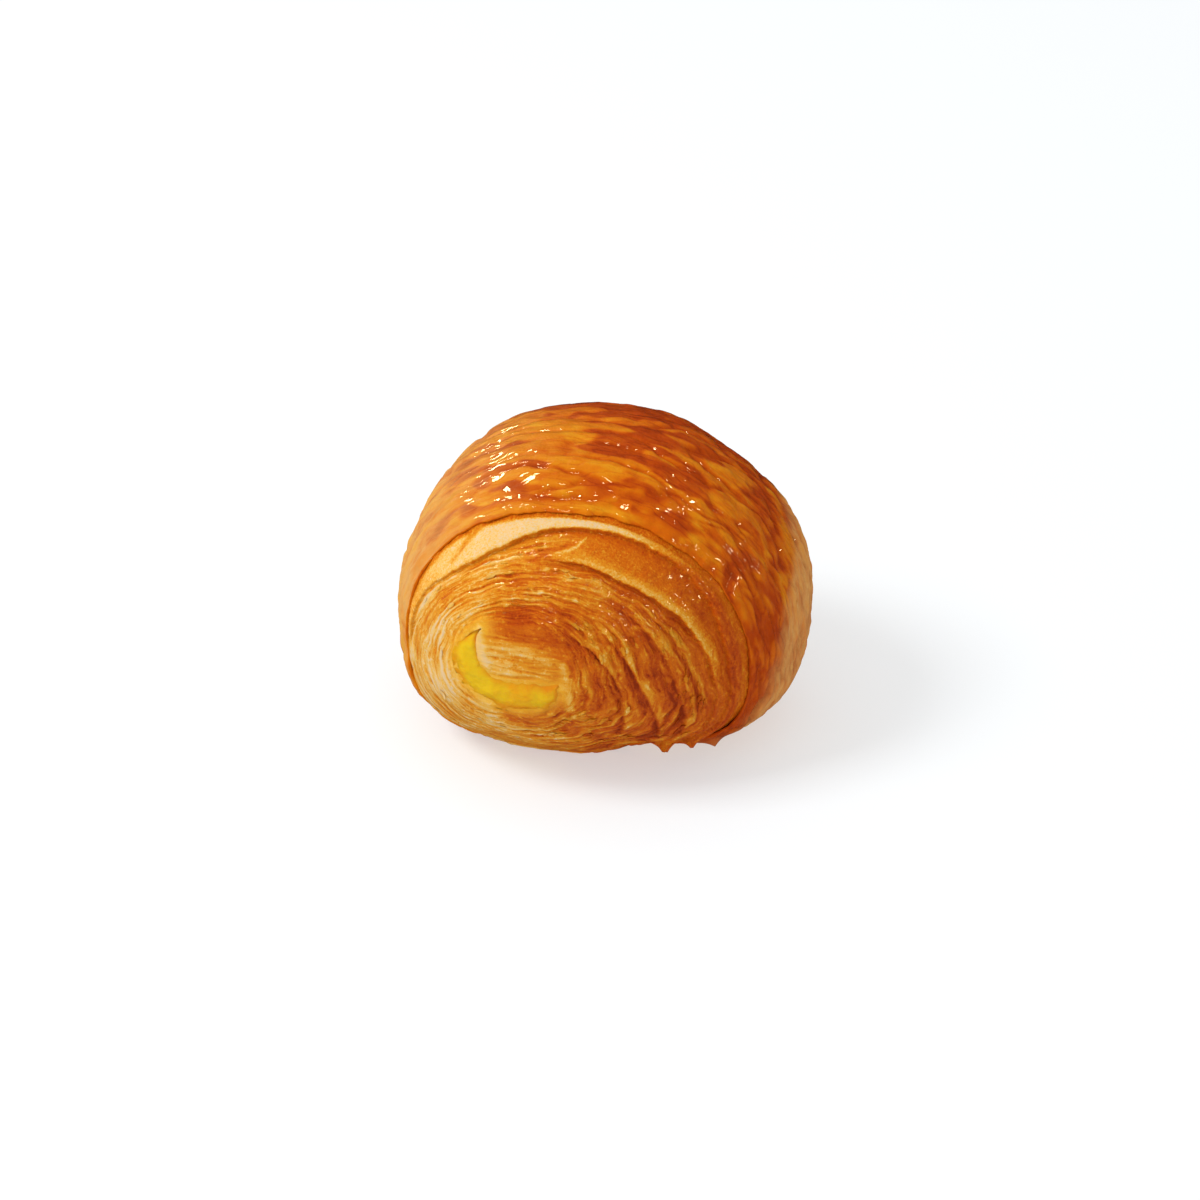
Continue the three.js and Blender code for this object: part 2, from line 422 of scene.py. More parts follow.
def loft(rows: Array, poles: tuple[Array, Array] | None, values: dict[str, Array]) -> Skin:
    """Join rows of points that each run round the roll.

    Args:
        rows: Points as rows by columns by 3.
        poles: The points that close the first and last row, or None where the last row joins the
            first.
        values: Numbers to keep, each as rows by columns, or by 3 for directions.

    Returns:
        The closed skin.
    """
    count, columns = rows.shape[:2]
    index = np.arange(count * columns).reshape(count, columns)
    if poles is None:
        index = np.vstack([index, index[:1]])
    right = np.roll(index, -1, axis=1)
    quads = np.stack([index[:-1], index[1:], right[1:], right[:-1]], axis=-1).reshape(-1, 4)
    points = rows.reshape(-1, 3)
    kept = {key: value.reshape(-1, *value.shape[2:]) for key, value in values.items()}
    if poles is None:
        return Skin(points, quads, np.zeros((0, 3), int), kept)
    first, last = count * columns, count * columns + 1
    fans = [
        np.stack([np.full(columns, first), index[0], right[0]], axis=-1),
        np.stack([np.full(columns, last), right[-1], index[-1]], axis=-1),
    ]
    points = np.vstack([points, poles[0], poles[1]])
    for key, value in values.items():
        ends = [value[0].mean(axis=0, keepdims=True), value[-1].mean(axis=0, keepdims=True)]
        kept[key] = np.concatenate([kept[key], *ends])
    return Skin(points, quads, np.concatenate(fans), kept)


# Shader arithmetic


class Signal:
    """A shader socket that takes part in Python arithmetic by adding Math nodes."""

    def __init__(self, bench: "NodeBench", socket: bpy.types.NodeSocket) -> None:
        """Wrap a socket of a bench's tree."""
        self.bench = bench
        self.socket = socket

    def _with(self, operation: str, first: Any, second: Any) -> "Signal":
        """Return a Math node's result."""
        node = self.bench.node("ShaderNodeMath", {"operation": operation}, {0: first, 1: second})
        return Signal(self.bench, node.outputs[0])

    def __add__(self, other: "Signal | float") -> "Signal":
        """Return this plus another."""
        return self._with("ADD", self, other)

    __radd__ = __add__

    def __sub__(self, other: "Signal | float") -> "Signal":
        """Return this minus another."""
        return self._with("SUBTRACT", self, other)

    def __rsub__(self, other: float) -> "Signal":
        """Return a number minus this."""
        return self._with("SUBTRACT", other, self)

    def __mul__(self, other: "Signal | float") -> "Signal":
        """Return this times another."""
        return self._with("MULTIPLY", self, other)

    __rmul__ = __mul__

    def size(self) -> "Signal":
        """Return this without its sign."""
        return self._with("ABSOLUTE", self, 0.0)

    def above(self, edge: float, width: float) -> "Signal":
        """Return 0 below an edge, and 1 from one width above it."""
        node = self.bench.node(
            "ShaderNodeMapRange",
            {"interpolation_type": "SMOOTHSTEP"},
            {"Value": self, "From Min": edge, "From Max": edge + width},
        )
        return Signal(self.bench, node.outputs[0])


def set_stops(ramp: bpy.types.ColorRamp, stops: Sequence[tuple[float, Colour]]) -> None:
    """Give a colour ramp its stops."""
    while len(ramp.elements) < len(stops):
        ramp.elements.new(0.5)
    for element, (place, colour) in zip(ramp.elements, stops):
        element.position = place
        element.color = (*colour, 1.0)


def add_node(
    tree: bpy.types.NodeTree, kind: str, settings: dict[str, Any], inputs: dict[Any, Any]
) -> bpy.types.Node:
    """Add a node to a material's tree or to a scatter's.

    Args:
        tree: The tree.
        kind: Blender's name of the node's type.
        settings: Properties to set first. The key "stops" holds a colour ramp's stops.
        inputs: A value, a Signal or a socket for each input, by name or number.

    Returns:
        The node.
    """
    node = tree.nodes.new(kind)
    for key, value in settings.items():
        if key == "stops":
            set_stops(node.color_ramp, value)
        else:
            setattr(node, key, value)
    for key, value in inputs.items():
        given = value.socket if isinstance(value, Signal) else value
        if isinstance(given, bpy.types.NodeSocket):
            tree.links.new(given, node.inputs[key])
        else:
            node.inputs[key].default_value = given
    return node


class NodeBench:
    """Makes the nodes of one material."""

    def __init__(self, name: str) -> None:
        """Start a material with an empty tree."""
        self.material = bpy.data.materials.new(name)
        self.material.use_nodes = True
        self.tree = self.material.node_tree
        self.tree.nodes.clear()

    def node(self, kind: str, settings: dict[str, Any], inputs: dict[Any, Any]) -> bpy.types.Node:
        """Add a node, as add_node does."""
        return add_node(self.tree, kind, settings, inputs)

    def kept(self, name: str) -> Signal:
        """Return a number kept on the mesh's points."""
        node = self.node("ShaderNodeAttribute", {"attribute_name": name}, {})
        return Signal(self, node.outputs["Fac"])

    def noise(self, pitch: float, detail: float, stretch: Colour = (1.0, 1.0, 1.0)) -> Signal:
        """Return noise from 0 to 1 over the object's own coordinates.

        Args:
            pitch: Size of the noise's blotches in mm.
            detail: How many finer octaves it holds.
            stretch: How many times longer the blotches are along each axis.

        Returns:
            The noise.
        """
        place = self.node("ShaderNodeTexCoord", {}, {}).outputs["Object"]
        scale = tuple(1.0 / (pitch * MM * part) for part in stretch)
        placed = self.node("ShaderNodeMapping", {}, {"Vector": place, "Scale": scale})
        return self._noise_at(placed.outputs[0], detail)

    def threads(self, name: str, detail: float) -> Signal:
        """Return noise from 0 to 1 over the places kept on the mesh's points."""
        place = self.node("ShaderNodeAttribute", {"attribute_name": name}, {})
        return self._noise_at(place.outputs["Vector"], detail)

    def _noise_at(self, place: bpy.types.NodeSocket, detail: float) -> Signal:
        """Return noise from 0 to 1 over a place."""
        node = self.node(
            "ShaderNodeTexNoise",
            {"noise_dimensions": "3D"},
            {"Vector": place, "Scale": 1.0, "Detail": detail, "Roughness": 0.6},
        )
        return Signal(self, node.outputs["Fac"])

    def ramp(self, value: Signal, stops: Sequence[tuple[float, Colour]]) -> bpy.types.NodeSocket:
        """Return the colour of a value along a ramp."""
        return self.node("ShaderNodeValToRGB", {"stops": stops}, {"Fac": value}).outputs["Color"]

    def mix(self, share: Signal, first: Any, second: Any) -> bpy.types.NodeSocket:
        """Return the first colour where share is 0 and the second where it is 1."""
        as_colour = [(*c, 1.0) if isinstance(c, tuple) else c for c in (first, second)]
        node = self.node(
            "ShaderNodeMix",
            {"data_type": "RGBA"},
            {"Factor": share, 6: as_colour[0], 7: as_colour[1]},
        )
        return node.outputs[2]

    def bumped(self, height: Signal, depth: float) -> bpy.types.NodeSocket:
        """Return the normal of a surface with a fine relief of the given depth in mm."""
        node = self.node("ShaderNodeBump", {}, {"Distance": depth * MM, "Height": height})
        return node.outputs["Normal"]

    def finish(self, inputs: dict[str, Any]) -> bpy.types.Material:
        """Close the tree with a surface shader that has these inputs."""
        shader = self.node("ShaderNodeBsdfPrincipled", {}, inputs)
        self.node("ShaderNodeOutputMaterial", {}, {"Surface": shader.outputs[0]})
        return self.material


# Finishes


@dataclass(frozen=True)
class GlazedCrust:
    """Egg-washed crust, mottled from gold to dark red-brown, under a wrinkled shine, with painted
    shade in its fine creases.
    """

    stops: tuple[tuple[float, Colour], ...] = (
        (0.00, (0.74, 0.33, 0.012)),
        (0.25, (0.67, 0.200, 0.004)),
        (0.50, (0.58, 0.108, 0.002)),
        (0.75, (0.43, 0.050, 0.002)),
        (1.00, (0.24, 0.021, 0.002)),
    )
    # Pale unwashed crust low on the far right; at the left edge the same colour is painted sheen.
    bare_colour: Colour = (0.66, 0.34, 0.095)
    sheen: Colour = (1.0, 0.75, 0.45)
    blotch: float = 3.0
    streak: float = 0.9
    vein: float = 1.7
    pimple: float = 0.75
    grain: float = 0.35
    relief: float = 0.11

    def material(self) -> bpy.types.Material:
        """Build the finish."""
        bench = NodeBench("glazed_crust")
        blotches = bench.noise(self.blotch, 3.0, (2.0, 1.0, 2.0)) - 0.5
        streaks = bench.noise(self.streak, 4.0, (4.0, 1.0, 4.0)) - 0.5
        # Painted shade: the veins are fine creases that dent the relief and are painted darker as
        # well.
        veins = 1.0 - (bench.noise(self.vein, 2.0, (4.5, 1.0, 4.5)) - 0.5).size().above(0.0, 0.05)
        tone = bench.kept("tone") + blotches * 0.30 + streaks * 0.34 + veins * 0.11 - 0.02
        bare = bench.kept("bare")
        matt = bench.kept("matt")
        fine = bench.noise(self.grain, 3.0)
        pimples = bench.noise(self.pimple, 1.0)
        colour = bench.ramp(tone, self.stops)
        # Where bare is high at the left edge this mix paints sheen; elsewhere it shows unwashed
        # crust.
        colour = bench.mix(bare * (0.65 - streaks * 1.6), colour, self.bare_colour)
        return bench.finish(
            {
                "Base Color": colour,
                "Roughness": 0.45 + matt * 0.2,
                "Specular IOR Level": 0.06,
                "Specular Tint": (*self.sheen, 1.0),
                "Coat Weight": 0.65 - matt * 0.6,
                "Coat Roughness": 0.05,
                "Normal": bench.bumped(fine * 0.5 + streaks + pimples - veins * 0.3, self.relief),
            }
        )


@dataclass(frozen=True)
class LeafEdges:
    """Bare edges of baked leaves, from cream to red-brown, matt where they are powdery, with
    painted shade in their fine grooves.
    """

    stops: tuple[tuple[float, Colour], ...] = (
        (0.00, (0.74, 0.52, 0.28)),
        (0.16, (0.78, 0.455, 0.100)),
        (0.36, (0.71, 0.275, 0.013)),
        (0.58, (0.60, 0.130, 0.003)),
        (0.80, (0.46, 0.060, 0.002)),
        (1.00, (0.28, 0.026, 0.002)),
    )
    soaked: Colour = (0.92, 0.50, 0.035)
    sheen: Colour = (1.0, 0.8, 0.5)
    blotch: float = 2.2
    speckle: float = 0.75
    grain: float = 0.30
    sheet: float = 0.50
    relief: float = 0.10

    def material(self) -> bpy.types.Material:
        """Build the finish."""
        bench = NodeBench("leaf_edges")
        blotches = bench.noise(self.blotch, 3.0) - 0.5
        threads = (bench.threads("fibre", 2.0) - 0.5) * bench.kept("leafy")
        sheets = (bench.noise(self.sheet, 2.0, (8.0, 4.0, 1.0)) - 0.5) * bench.kept("sheeted")
        lines = threads + sheets
        fine = bench.noise(self.grain, 3.0)
        bare = bench.kept("bare")
        wet = bench.kept("wet")
        speckle = bench.noise(self.speckle, 2.0)
        tone = bench.kept("tone") + blotches * 0.20 + (fine - 0.5) * (0.2 + bare * 0.6)
        # Painted shade: the thread and sheet lines dent the relief and are painted darker together,
        # so each groove holds its own shade.
        tone = tone + lines * 0.65
        tone = tone - speckle.above(0.58, 0.12) * 0.16
        tone = tone + (1.0 - speckle.above(0.33, 0.10)) * (0.12 - bare * 0.10)
        colour = bench.mix(wet * 0.60, bench.ramp(tone, self.stops), self.soaked)
        return bench.finish(
            {
                "Base Color": colour,
                "Roughness": 0.50 + bare * 0.30 - wet * 0.2,
                "Specular IOR Level": 0.10,
                "Specular Tint": (*self.sheen, 1.0),
                "Coat Weight": 0.50 - bare * 0.50 + wet * 0.4,
                "Coat Roughness": 0.08,
                "Subsurface Weight": 0.12,
                "Subsurface Radius": (0.9, 0.4, 0.1),
                "Subsurface Scale": 0.8 * MM,
                "Normal": bench.bumped(fine - lines * 1.3, self.relief),
            }
        )


@dataclass(frozen=True)
class SetCustard:
    """Moist set custard, yellow and a little see-through, deeper orange where its kept tone is
    high, which holds painted shade at its edges and in its hollow.
    """

    light: Colour = (0.77, 0.48, 0.006)
    deep: Colour = (0.76, 0.25, 0.002)
    blotch: float = 2.6
    relief: float = 0.10

    def material(self) -> bpy.types.Material:
        """Build the finish."""
        bench = NodeBench("set_custard")
        blotches = bench.noise(self.blotch, 2.0)
        share = (blotches - 0.5) * 0.9 + bench.kept("tone")
        return bench.finish(
            {
                "Base Color": bench.mix(share.above(0.0, 1.0), self.light, self.deep),
                "Roughness": 0.35,
                "Specular IOR Level": 0.15,
                "Coat Weight": 0.8,
                "Coat Roughness": 0.06,
                "Subsurface Weight": 0.30,
                "Subsurface Radius": (1.0, 0.5, 0.03),
                "Subsurface Scale": 1.4 * MM,
                "Normal": bench.bumped(bench.noise(0.9, 2.0), self.relief),
            }
        )


@dataclass(frozen=True)
class PaleFloor:
    """A plain white tabletop, so brightly lit that its shadows stay light."""

    colour: Colour = (0.475, 0.50, 0.515)
    glow: float = 0.482

    def material(self) -> bpy.types.Material:
        """Build the finish."""
        bench = NodeBench("pale_floor")
        return bench.finish(
            {
                "Base Color": (*self.colour, 1.0),
                "Roughness": 0.8,
                "Specular IOR Level": 0.0,
                "Emission Color": (1.0, 1.0, 1.0, 1.0),
                "Emission Strength": self.glow,
            }
        )


# The custard's outline


@dataclass(frozen=True)
class CustardOutline:
    """The hook between a squarish tongue of dough and the oval wrap round it."""

    tongue_x: float = -4.6
    tongue_z: float = 25.6
    tongue: Oval = even_oval(6.4, 5.1, 3.2)
    tongue_from: float = 146.0
    tongue_to: float = 328.0
    wrap_x: float = -5.2
    wrap_z: float = 23.35
    wrap: Oval = even_oval(8.8, 6.95, 2.0)
    wrap_from: float = 130.0
    wrap_to: float = 318.0
    thin_end: float = 0.60
    round_from: float = 0.83
    round_to: float = 1.002

    def fullness(self, way: Array) -> Array:
        """Return how much of its full width the hook has along the way, less at both ends."""
        thin = blend(self.thin_end, 1.0, ease(way, 0.0, 0.25))
        past = np.maximum(way - self.round_from, 0.0) / (self.round_to - self.round_from)
        return thin * np.sqrt(1.0 - past**2)

    def across(
        self, way: Array, depth: Array, spill: tuple[float, float] = (0.0, 0.0)
    ) -> tuple[Array, Array]:
        """Return places in the hook.

        Args:
            way: Shares of the way from the thin upper end to the blunt end.
            depth: Shares of the way from the wrap (0) to the tongue (1).
            spill: How far the hook is grown at its ends and at its sides, as shares of its size.

        Returns:
            The places' x and z.
        """
        depth = 0.5 + (depth - 0.5) * self.fullness(way) * (1.0 + 2.0 * spill[1])
        way = 0.5 + (way - 0.5) * (1.0 + 2.0 * spill[0])
        outer = self.wrap.at(blend(self.wrap_from, self.wrap_to, way))
        inner = self.tongue.at(blend(self.tongue_from, self.tongue_to, way))
        x = blend(self.wrap_x + outer[0], self.tongue_x + inner[0], depth)
        z = blend(self.wrap_z + outer[1], self.tongue_z + inner[1], depth)
        return x, z

    def loop(self, count: int, growth: float) -> Array:
        """Return the hook's outline as a closed loop of x and z, grown by a length in mm."""
        way = 0.5 - 0.5 * np.cos(np.linspace(0.0, math.pi, count))
        outside = np.stack(self.across(way, np.zeros(count)), axis=-1)
        inside = np.stack(self.across(way[::-1], np.ones(count)), axis=-1)
        loop = np.vstack([outside, inside])
        side = np.roll(loop, -1, axis=0) - loop
        side = side / np.linalg.norm(side, axis=1, keepdims=True)
        after = np.stack([side[:, 1], -side[:, 0]], axis=-1)
        before = np.roll(after, 1, axis=0)
        bend = np.sum(before * after, axis=1, keepdims=True)
        corner = (before + after) / np.maximum(1.0 + bend, 0.5)
        return loop + corner * growth


# The leaf edges of one end


def follow(degrees: Array, table: Sequence[tuple[float, float]]) -> Array:
    """Return a rounded line through a few (angle, value) pairs, periodic over the full turn.

    Args:
        degrees: Where the line is wanted.
        table: The pairs, in any order.

    Returns:
        The line's value at each angle.
    """
    angles = [pair[0] for pair in table]
    values = [pair[1] for pair in table]
    nearby = [np.interp(degrees + part, angles, values, period=360.0) for part in (-7, -3, 0, 3, 7)]
    return sum(nearby) / len(nearby)


def crowded_turns(columns: int, crowd: float, angle: float) -> Array:
    """Return angles over the full turn that lie closer together round one of them.

    Args:
        columns: How many angles there are.
        crowd: How far they are moved at most, in degrees.
        angle: The angle that they are moved towards.

    Returns:
        The angles in degrees.
    """
    even = np.linspace(0.0, 360.0, columns, endpoint=False)
    return even - crowd * np.sin(np.radians(even - angle))


def ragged(degrees: Array, pitch: float, seed: int) -> Array:
    """Return noise over the full turn that changes over a pitch in degrees."""
    reach = math.degrees(1.0) / pitch
    turn = np.radians(degrees)
    return Unevenness(seed).at(reach * np.cos(turn), reach * np.sin(turn), 0.5)


def within(degrees: Array, start: float, stop: float, fade: float) -> Array:
    """Return 1 between two angles and 0 outside, with a smooth change at both."""
    away = np.abs(apart(degrees, (start + stop) / 2))
    return 1.0 - ease(away, (stop - start) / 2 - fade / 2, (stop - start) / 2 + fade / 2)


@dataclass(frozen=True)
class WrapEdge:
    """The front edge of one wrap, which stands over the next wrap inwards."""

    table: tuple[tuple[float, float], ...]
    step: float
    start: float
    stop: float
    faint: float
    fade: float = 20.0
    seed: int = 71

    def line(self, degrees: Array) -> Array:
        """Return the edge's share of the way to the rim at each angle."""
        torn = 0.008 * ragged(degrees, 6.0, self.seed) + 0.005 * ragged(degrees, 1.7, self.seed)
        return follow(degrees, self.table) + torn

    def strength(self, degrees: Array) -> Array:
        """Return 1 where the edge stands out and a small number where it is lost in the leaves."""
        return self.faint + (1.0 - self.faint) * within(degrees, self.start, self.stop, self.fade)

    def drop(self, degrees: Array) -> Array:
        """Return the height of the edge's step in mm, which is less at the left."""
        less = 0.55 * bump(degrees, 170.0, 45.0) + 0.45 * bump(degrees, -24.0, 24.0)
        return self.step * self.strength(degrees) * (1.0 - less)


@dataclass(frozen=True)
class Ridge:
    """A thick leaf whose edge stands a little over its neighbour inwards."""

    table: tuple[tuple[float, float], ...]
    step: float
    fade: float = 14.0
    run: float = 0.07
    edge: float = 0.012

    def masks(self, share: Array, degrees: Array) -> tuple[Array, Array]:
        """Return how far each place lies in the groove inside the edge, and on the edge's lip."""
        angles = [pair[0] for pair in self.table]
        shown = within(degrees, min(angles), max(angles), self.fade)
        beyond = share - follow(degrees, self.table) + 0.006 * ragged(degrees, 3.0, 73)
        groove = np.exp(-np.maximum(-beyond, 0.0) / self.run) * (1 - ease(beyond, -self.edge, 0))
        lip = np.exp(-np.maximum(beyond, 0.0) / self.run) * ease(beyond, -self.edge, self.edge)
        return shown * groove, shown * lip


@dataclass(frozen=True)
class Streak:
    """A fold, a tear, a smear, a painted highlight or a painted shade along a line on an end, given
    by angles and shares in order.
    """

    path: tuple[tuple[float, float], ...]
    width: float
    tone: float
    rise: float = 0.0
    powder: float = 0.3
    samples: int = 40

    def mask(self, form: RollForm, end: End, points: Array) -> Array:
        """Return 1 on the streak and 0 away from it.

        Args:
            form: The smooth form that the line lies on.
            end: Which end.
            points: Places on the same form.

        Returns:
            The mask, whose line is thinner at both ends.
        """
        part = np.linspace(0.0, 1.0, self.samples)
        stops = np.linspace(0.0, 1.0, len(self.path))
        angles = np.interp(part, stops, [pair[0] for pair in self.path])
        shares = np.interp(part, stops, [pair[1] for pair in self.path])
        line = form.dome_point(shares, angles, end)
        widths = self.width * (0.35 + 0.65 * np.sin(math.pi * part) ** 0.6)
        mask = np.zeros(points.shape[:-1])
        for place, width in zip(line, widths):
            away = np.hypot(points[..., 0] - place[0], points[..., 2] - place[2])
            mask = np.maximum(mask, np.exp(-((away / width) ** 2)))
        return mask


@dataclass(frozen=True)
class LeafField:
    """Where the edges of the leaves run on one end, as a spiral with several arms."""

    leaves: float
    arms: int
    seed: int
    mirrored: bool = False

    def angle(self, degrees: Array) -> Array:
        """Return the angle from 0 to 360 in the sense in which this end is wound."""
        return (180.0 - degrees) % 360.0 if self.mirrored else degrees % 360.0

    def crowding(self, angle: Array) -> Array:
        """Return how closely the leaves lie at each angle."""
        even = 0.80 + 0.17 * np.sin(np.radians(angle))
        return even + 0.13 * bump(angle, 128, 25) - 0.14 * bump(angle, 190, 30)

    def count(self, share: Array, degrees: Array, points: Array) -> Array:
        """Return how many leaves lie between the core and each place, as a running number."""
        angle = self.angle(degrees)
        wander = Unevenness(self.seed)
        running = self.leaves * self.crowding(angle) * (share - 0.2) / 0.8
        running = running + self.arms * angle / 360.0
        running = running + 0.7 * wander.over(points, 9.0, 9.0, 9.0)
        running = running + 0.42 * wander.over(points + 40.0, 3.4, 3.4, 3.4)
        return running + 0.12 * wander.over(points + 80.0, 1.3, 1.3, 1.3)

    def along(
        self, running: Array, degrees: Array, finer: float, spread: float, seed: int
    ) -> Array:
        """Return noise that runs along the leaves, from about -1 to 1.

        Args:
            running: The running number of the leaf at each place.
            degrees: The places' angles.
            finer: How many streaks there are to one leaf.
            spread: Degrees over which a streak changes.
            seed: The number that fixes every random draw.

        Returns:
            The noise.
        """
        angle = self.angle(degrees)
        draw = Unevenness(seed)
        arms = self.arms * finer
        number = running * finer
        index = np.floor(number)

        def streak(leaf: Array) -> Array:
            turns = np.floor(leaf / arms)
            return draw.at((leaf - turns * arms) * 3.71, (angle - 360.0 * turns) / spread, 0.37)

        return blend(streak(index), streak(index + 1), ease(number - index, 0.0, 1.0))


@dataclass
class EndGround:
    """The smooth places of one end, and the noises and masks that its relief and tone share."""

    share: Array
    turn: Array
    angle: Array
    base: Array
    steps: Array
    smooth: Array
    running: Array
    groups: Array
    streaks: Array
    threads: Array
    flecks: Array
    bands: Array
    crest: Array
    shown: Array
    tongue: Array
    inside: Array
    wet: Array
    leafy: Array
    sheets: Array
    ridges: list[tuple[Array, Array]]
    marks: list[Array]

    @property
    def groove(self) -> Array:
        """How far each place lies in a groove beside a thick leaf."""
        return np.maximum.reduce([np.zeros_like(self.share), *(deep for deep, _ in self.ridges)])

    @property
    def lip(self) -> Array:
        """How far each place lies on the lip of a thick leaf."""
        return np.maximum.reduce([np.zeros_like(self.share), *(high for _, high in self.ridges)])


@dataclass
class SlippedEnd:
    """One end of the roll: the tongue, the leaf edges round it and the wraps that slid forward."""

    form: RollForm
    end: End
    edges: tuple[WrapEdge, ...]
    leaf_field: LeafField
    hook: CustardOutline
    columns: int
    core_rows: int
    leaf_rows: int
    band_rows: int
    ridges: tuple[Ridge, ...] = ()
    streaks: tuple[Streak, ...] = ()
    rim_step: float = 0.50
    merge: float = 0.75
    tucked: float = 0.86
    leaf_depth: float = 0.24
    lip: float = 0.006
    tips: tuple[tuple[float, float], ...] = ()
    tip_reach: float = 1.6
    tip_spread: float = 2.0
    crowd_angle: float = 60.0
    crowd: float = 18.0
    seed: int = 11
    clearance: float = 0.05
    half_gap: float = 0.05
    soak: float = 1.5
    tongue_drop: float = 1.2
    threads: float = 4.5
    thread_length: float = 12.0

    def turns(self) -> Array:
        """Return the columns' angles, closer together on the side that faces the camera."""
        return crowded_turns(self.columns, self.crowd, self.crowd_angle)

    def row_shares(self, degrees: Array) -> tuple[Array, Array, Array]:
        """Lay out the rows from the core to the rim.

        Args:
            degrees: The columns' angles.

        Returns:
            The rows' shares, the heights of the wraps' steps there in mm, and how much of each row
            is a smooth wrap and not leaf edges.
        """
        core = self.form.core_share
        shares = [np.full_like(degrees, s) for s in np.linspace(0.012, core, self.core_rows)]
        heights = [np.zeros_like(degrees) for _ in shares]
        smooth = [np.zeros_like(degrees) for _ in shares]
        start = np.full_like(degrees, core)
        band = np.zeros_like(degrees)
        for number, edge in enumerate(self.edges):
            line = edge.line(degrees)
            strength = edge.strength(degrees)
            step = edge.drop(degrees)
            count = self.leaf_rows if number == 0 else self.band_rows
            fall = 0.25 if number == 0 else 1.0
            for part in np.linspace(0.0, 1.0, count + 1)[1:]:
                shares.append(blend(start, line - 1.5 * self.lip, part))
                heights.append(-step * ease(np.array(part), 1.0 - fall, 1.0))
                smooth.append(band)
            after = strength
            for out, down in ((-0.6, 1.0), (-0.15, 0.75), (0.15, 0.35), (0.6, 0.1), (1.2, 0.0)):
                shares.append(line + out * self.lip)
                heights.append(-step * down)
                smooth.append(blend(band, after, 1.0 - down))
            start = line + 1.2 * self.lip
            band = after
        rim = self.rim_drop(degrees)
        for part in np.linspace(0.0, 1.0, self.band_rows + 1)[1:]:
            shares.append(blend(start, 0.999, part))
            heights.append(-rim * ease(np.array(part), 0.2, 0.85))
            smooth.append(band)
        return np.array(shares), np.array(heights), np.array(smooth)

    def rim_drop(self, degrees: Array) -> Array:
        """Return how far under the crust's rim the leaves lie, in mm, less where the two merge."""
        return self.rim_step * (1.0 - self.merge * bump(degrees, 205.0, 50.0))

    def tip_height(self, share: Array, degrees: Array) -> Array:
        """Return how far the pointed leaf tips hang out, in mm."""
        total = np.zeros_like(share)
        lines = [edge.line(degrees) for edge in self.edges]
        for (angle, reach), line in zip(self.tips, reversed(lines)):
            outwards = (share - line) / (6.0 * self.lip)
            near_line = np.where(outwards < -0.35, 0.0, np.exp(-(np.maximum(outwards, 0.0) ** 2)))
            aside = np.abs(apart(degrees, angle))
            total += self.tip_reach * reach * np.exp(-aside / self.tip_spread) * near_line
        return total

    def tongue_mask(self, points: Array) -> Array:
        """Return 1 on the flat tongue inside the custard's hook, fading outwards."""
        x = (points[..., 0] - self.hook.tongue_x) / self.hook.tongue.left
        z = (points[..., 2] - self.hook.tongue_z + self.tongue_drop) / self.hook.tongue.up
        return 1.0 - ease(np.hypot(x, 1.2 * z), 0.60, 1.15)

    def region_tone(self, share: Array, degrees: Array) -> Array:
        """Return how brown the leaves are baked at each place, from 0 to 1."""
        angle = self.leaf_field.angle(degrees)
        tone = 0.43 + 0.20 * np.cos(np.radians(angle + 4.0))
        tone = tone + 0.22 * bump(angle, 75.0, 45.0) * swell(share, 0.24, 0.10)
        tone = tone + 0.11 * bump(angle, 105.0, 45.0)
        return tone + 0.20 * bump(angle, 330.0, 45.0) * ease(share, 0.4, 0.8)

    def band_tone(self, number: int, degrees: Array) -> Array:
        """Return the tone of the smooth wrap outside an edge, counted from the innermost."""
        outermost = number == len(self.edges) - 1
        if not outermost:
            return 0.54 + 0.26 * bump(degrees, 0.0, 50.0)
        right = 0.70 * within(degrees, -60.0, 56.0, 60.0)
        left = 0.26 * bump(degrees, 165.0, 34.0)
        under = 0.45 * bump(degrees, 265.0, 50.0)
        return 0.03 + right + left + under

    def ground(self) -> EndGround:
        """Work out the smooth places of this end and what its relief and tone share."""
        leaf = self.leaf_field
        vary = Unevenness(self.seed)
        degrees = self.turns()
        share, steps, smooth = self.row_shares(degrees)
        turn = np.broadcast_to(degrees, share.shape)
        base = self.form.dome_point(share, turn, self.end)
        running = leaf.count(share, turn, base)
        part = running - np.floor(running)
        groups = leaf.along(running, turn, 1, 34.0, self.seed + 1)
        core = self.form.core_share
        inside = ease(share, core * 0.70, core * 1.25)
        wet = self.wetness(base)
        layers = base[..., 2] / 0.66 + 0.05 * base[..., 0] + 0.8 * vary.over(base, 6.0, 6.0, 1.6)
        return EndGround(
            share=share,
            turn=turn,
            angle=leaf.angle(turn),
            base=base,
            steps=steps,
            smooth=smooth,
            running=running,
            groups=groups,
            streaks=leaf.along(running, turn, 2, 20.0, self.seed + 2),
            threads=leaf.along(running, turn, 5, 13.0, self.seed + 3),
            flecks=ease(leaf.along(running, turn, 3, 4.5, self.seed + 4), 0.30, 0.75),
            bands=leaf.along(running, turn, 0.5, 30.0, self.seed + 5),
            crest=1.0 - ease(part, 0.0, 0.66) + ease(part, 0.66, 1.0),
            shown=np.clip(0.55 + 1.1 * groups, 0.05, 1.3),
            tongue=self.tongue_mask(base),
            inside=inside,
            wet=wet,
            leafy=(1.0 - smooth) * inside * (1.0 - 0.7 * wet),
            sheets=vary.at(base[..., 0] / 6.0, layers, 0.4),
            ridges=[ridge.masks(share, turn) for ridge in self.ridges],
            marks=[streak.mask(self.form, self.end, base) for streak in self.streaks],
        )

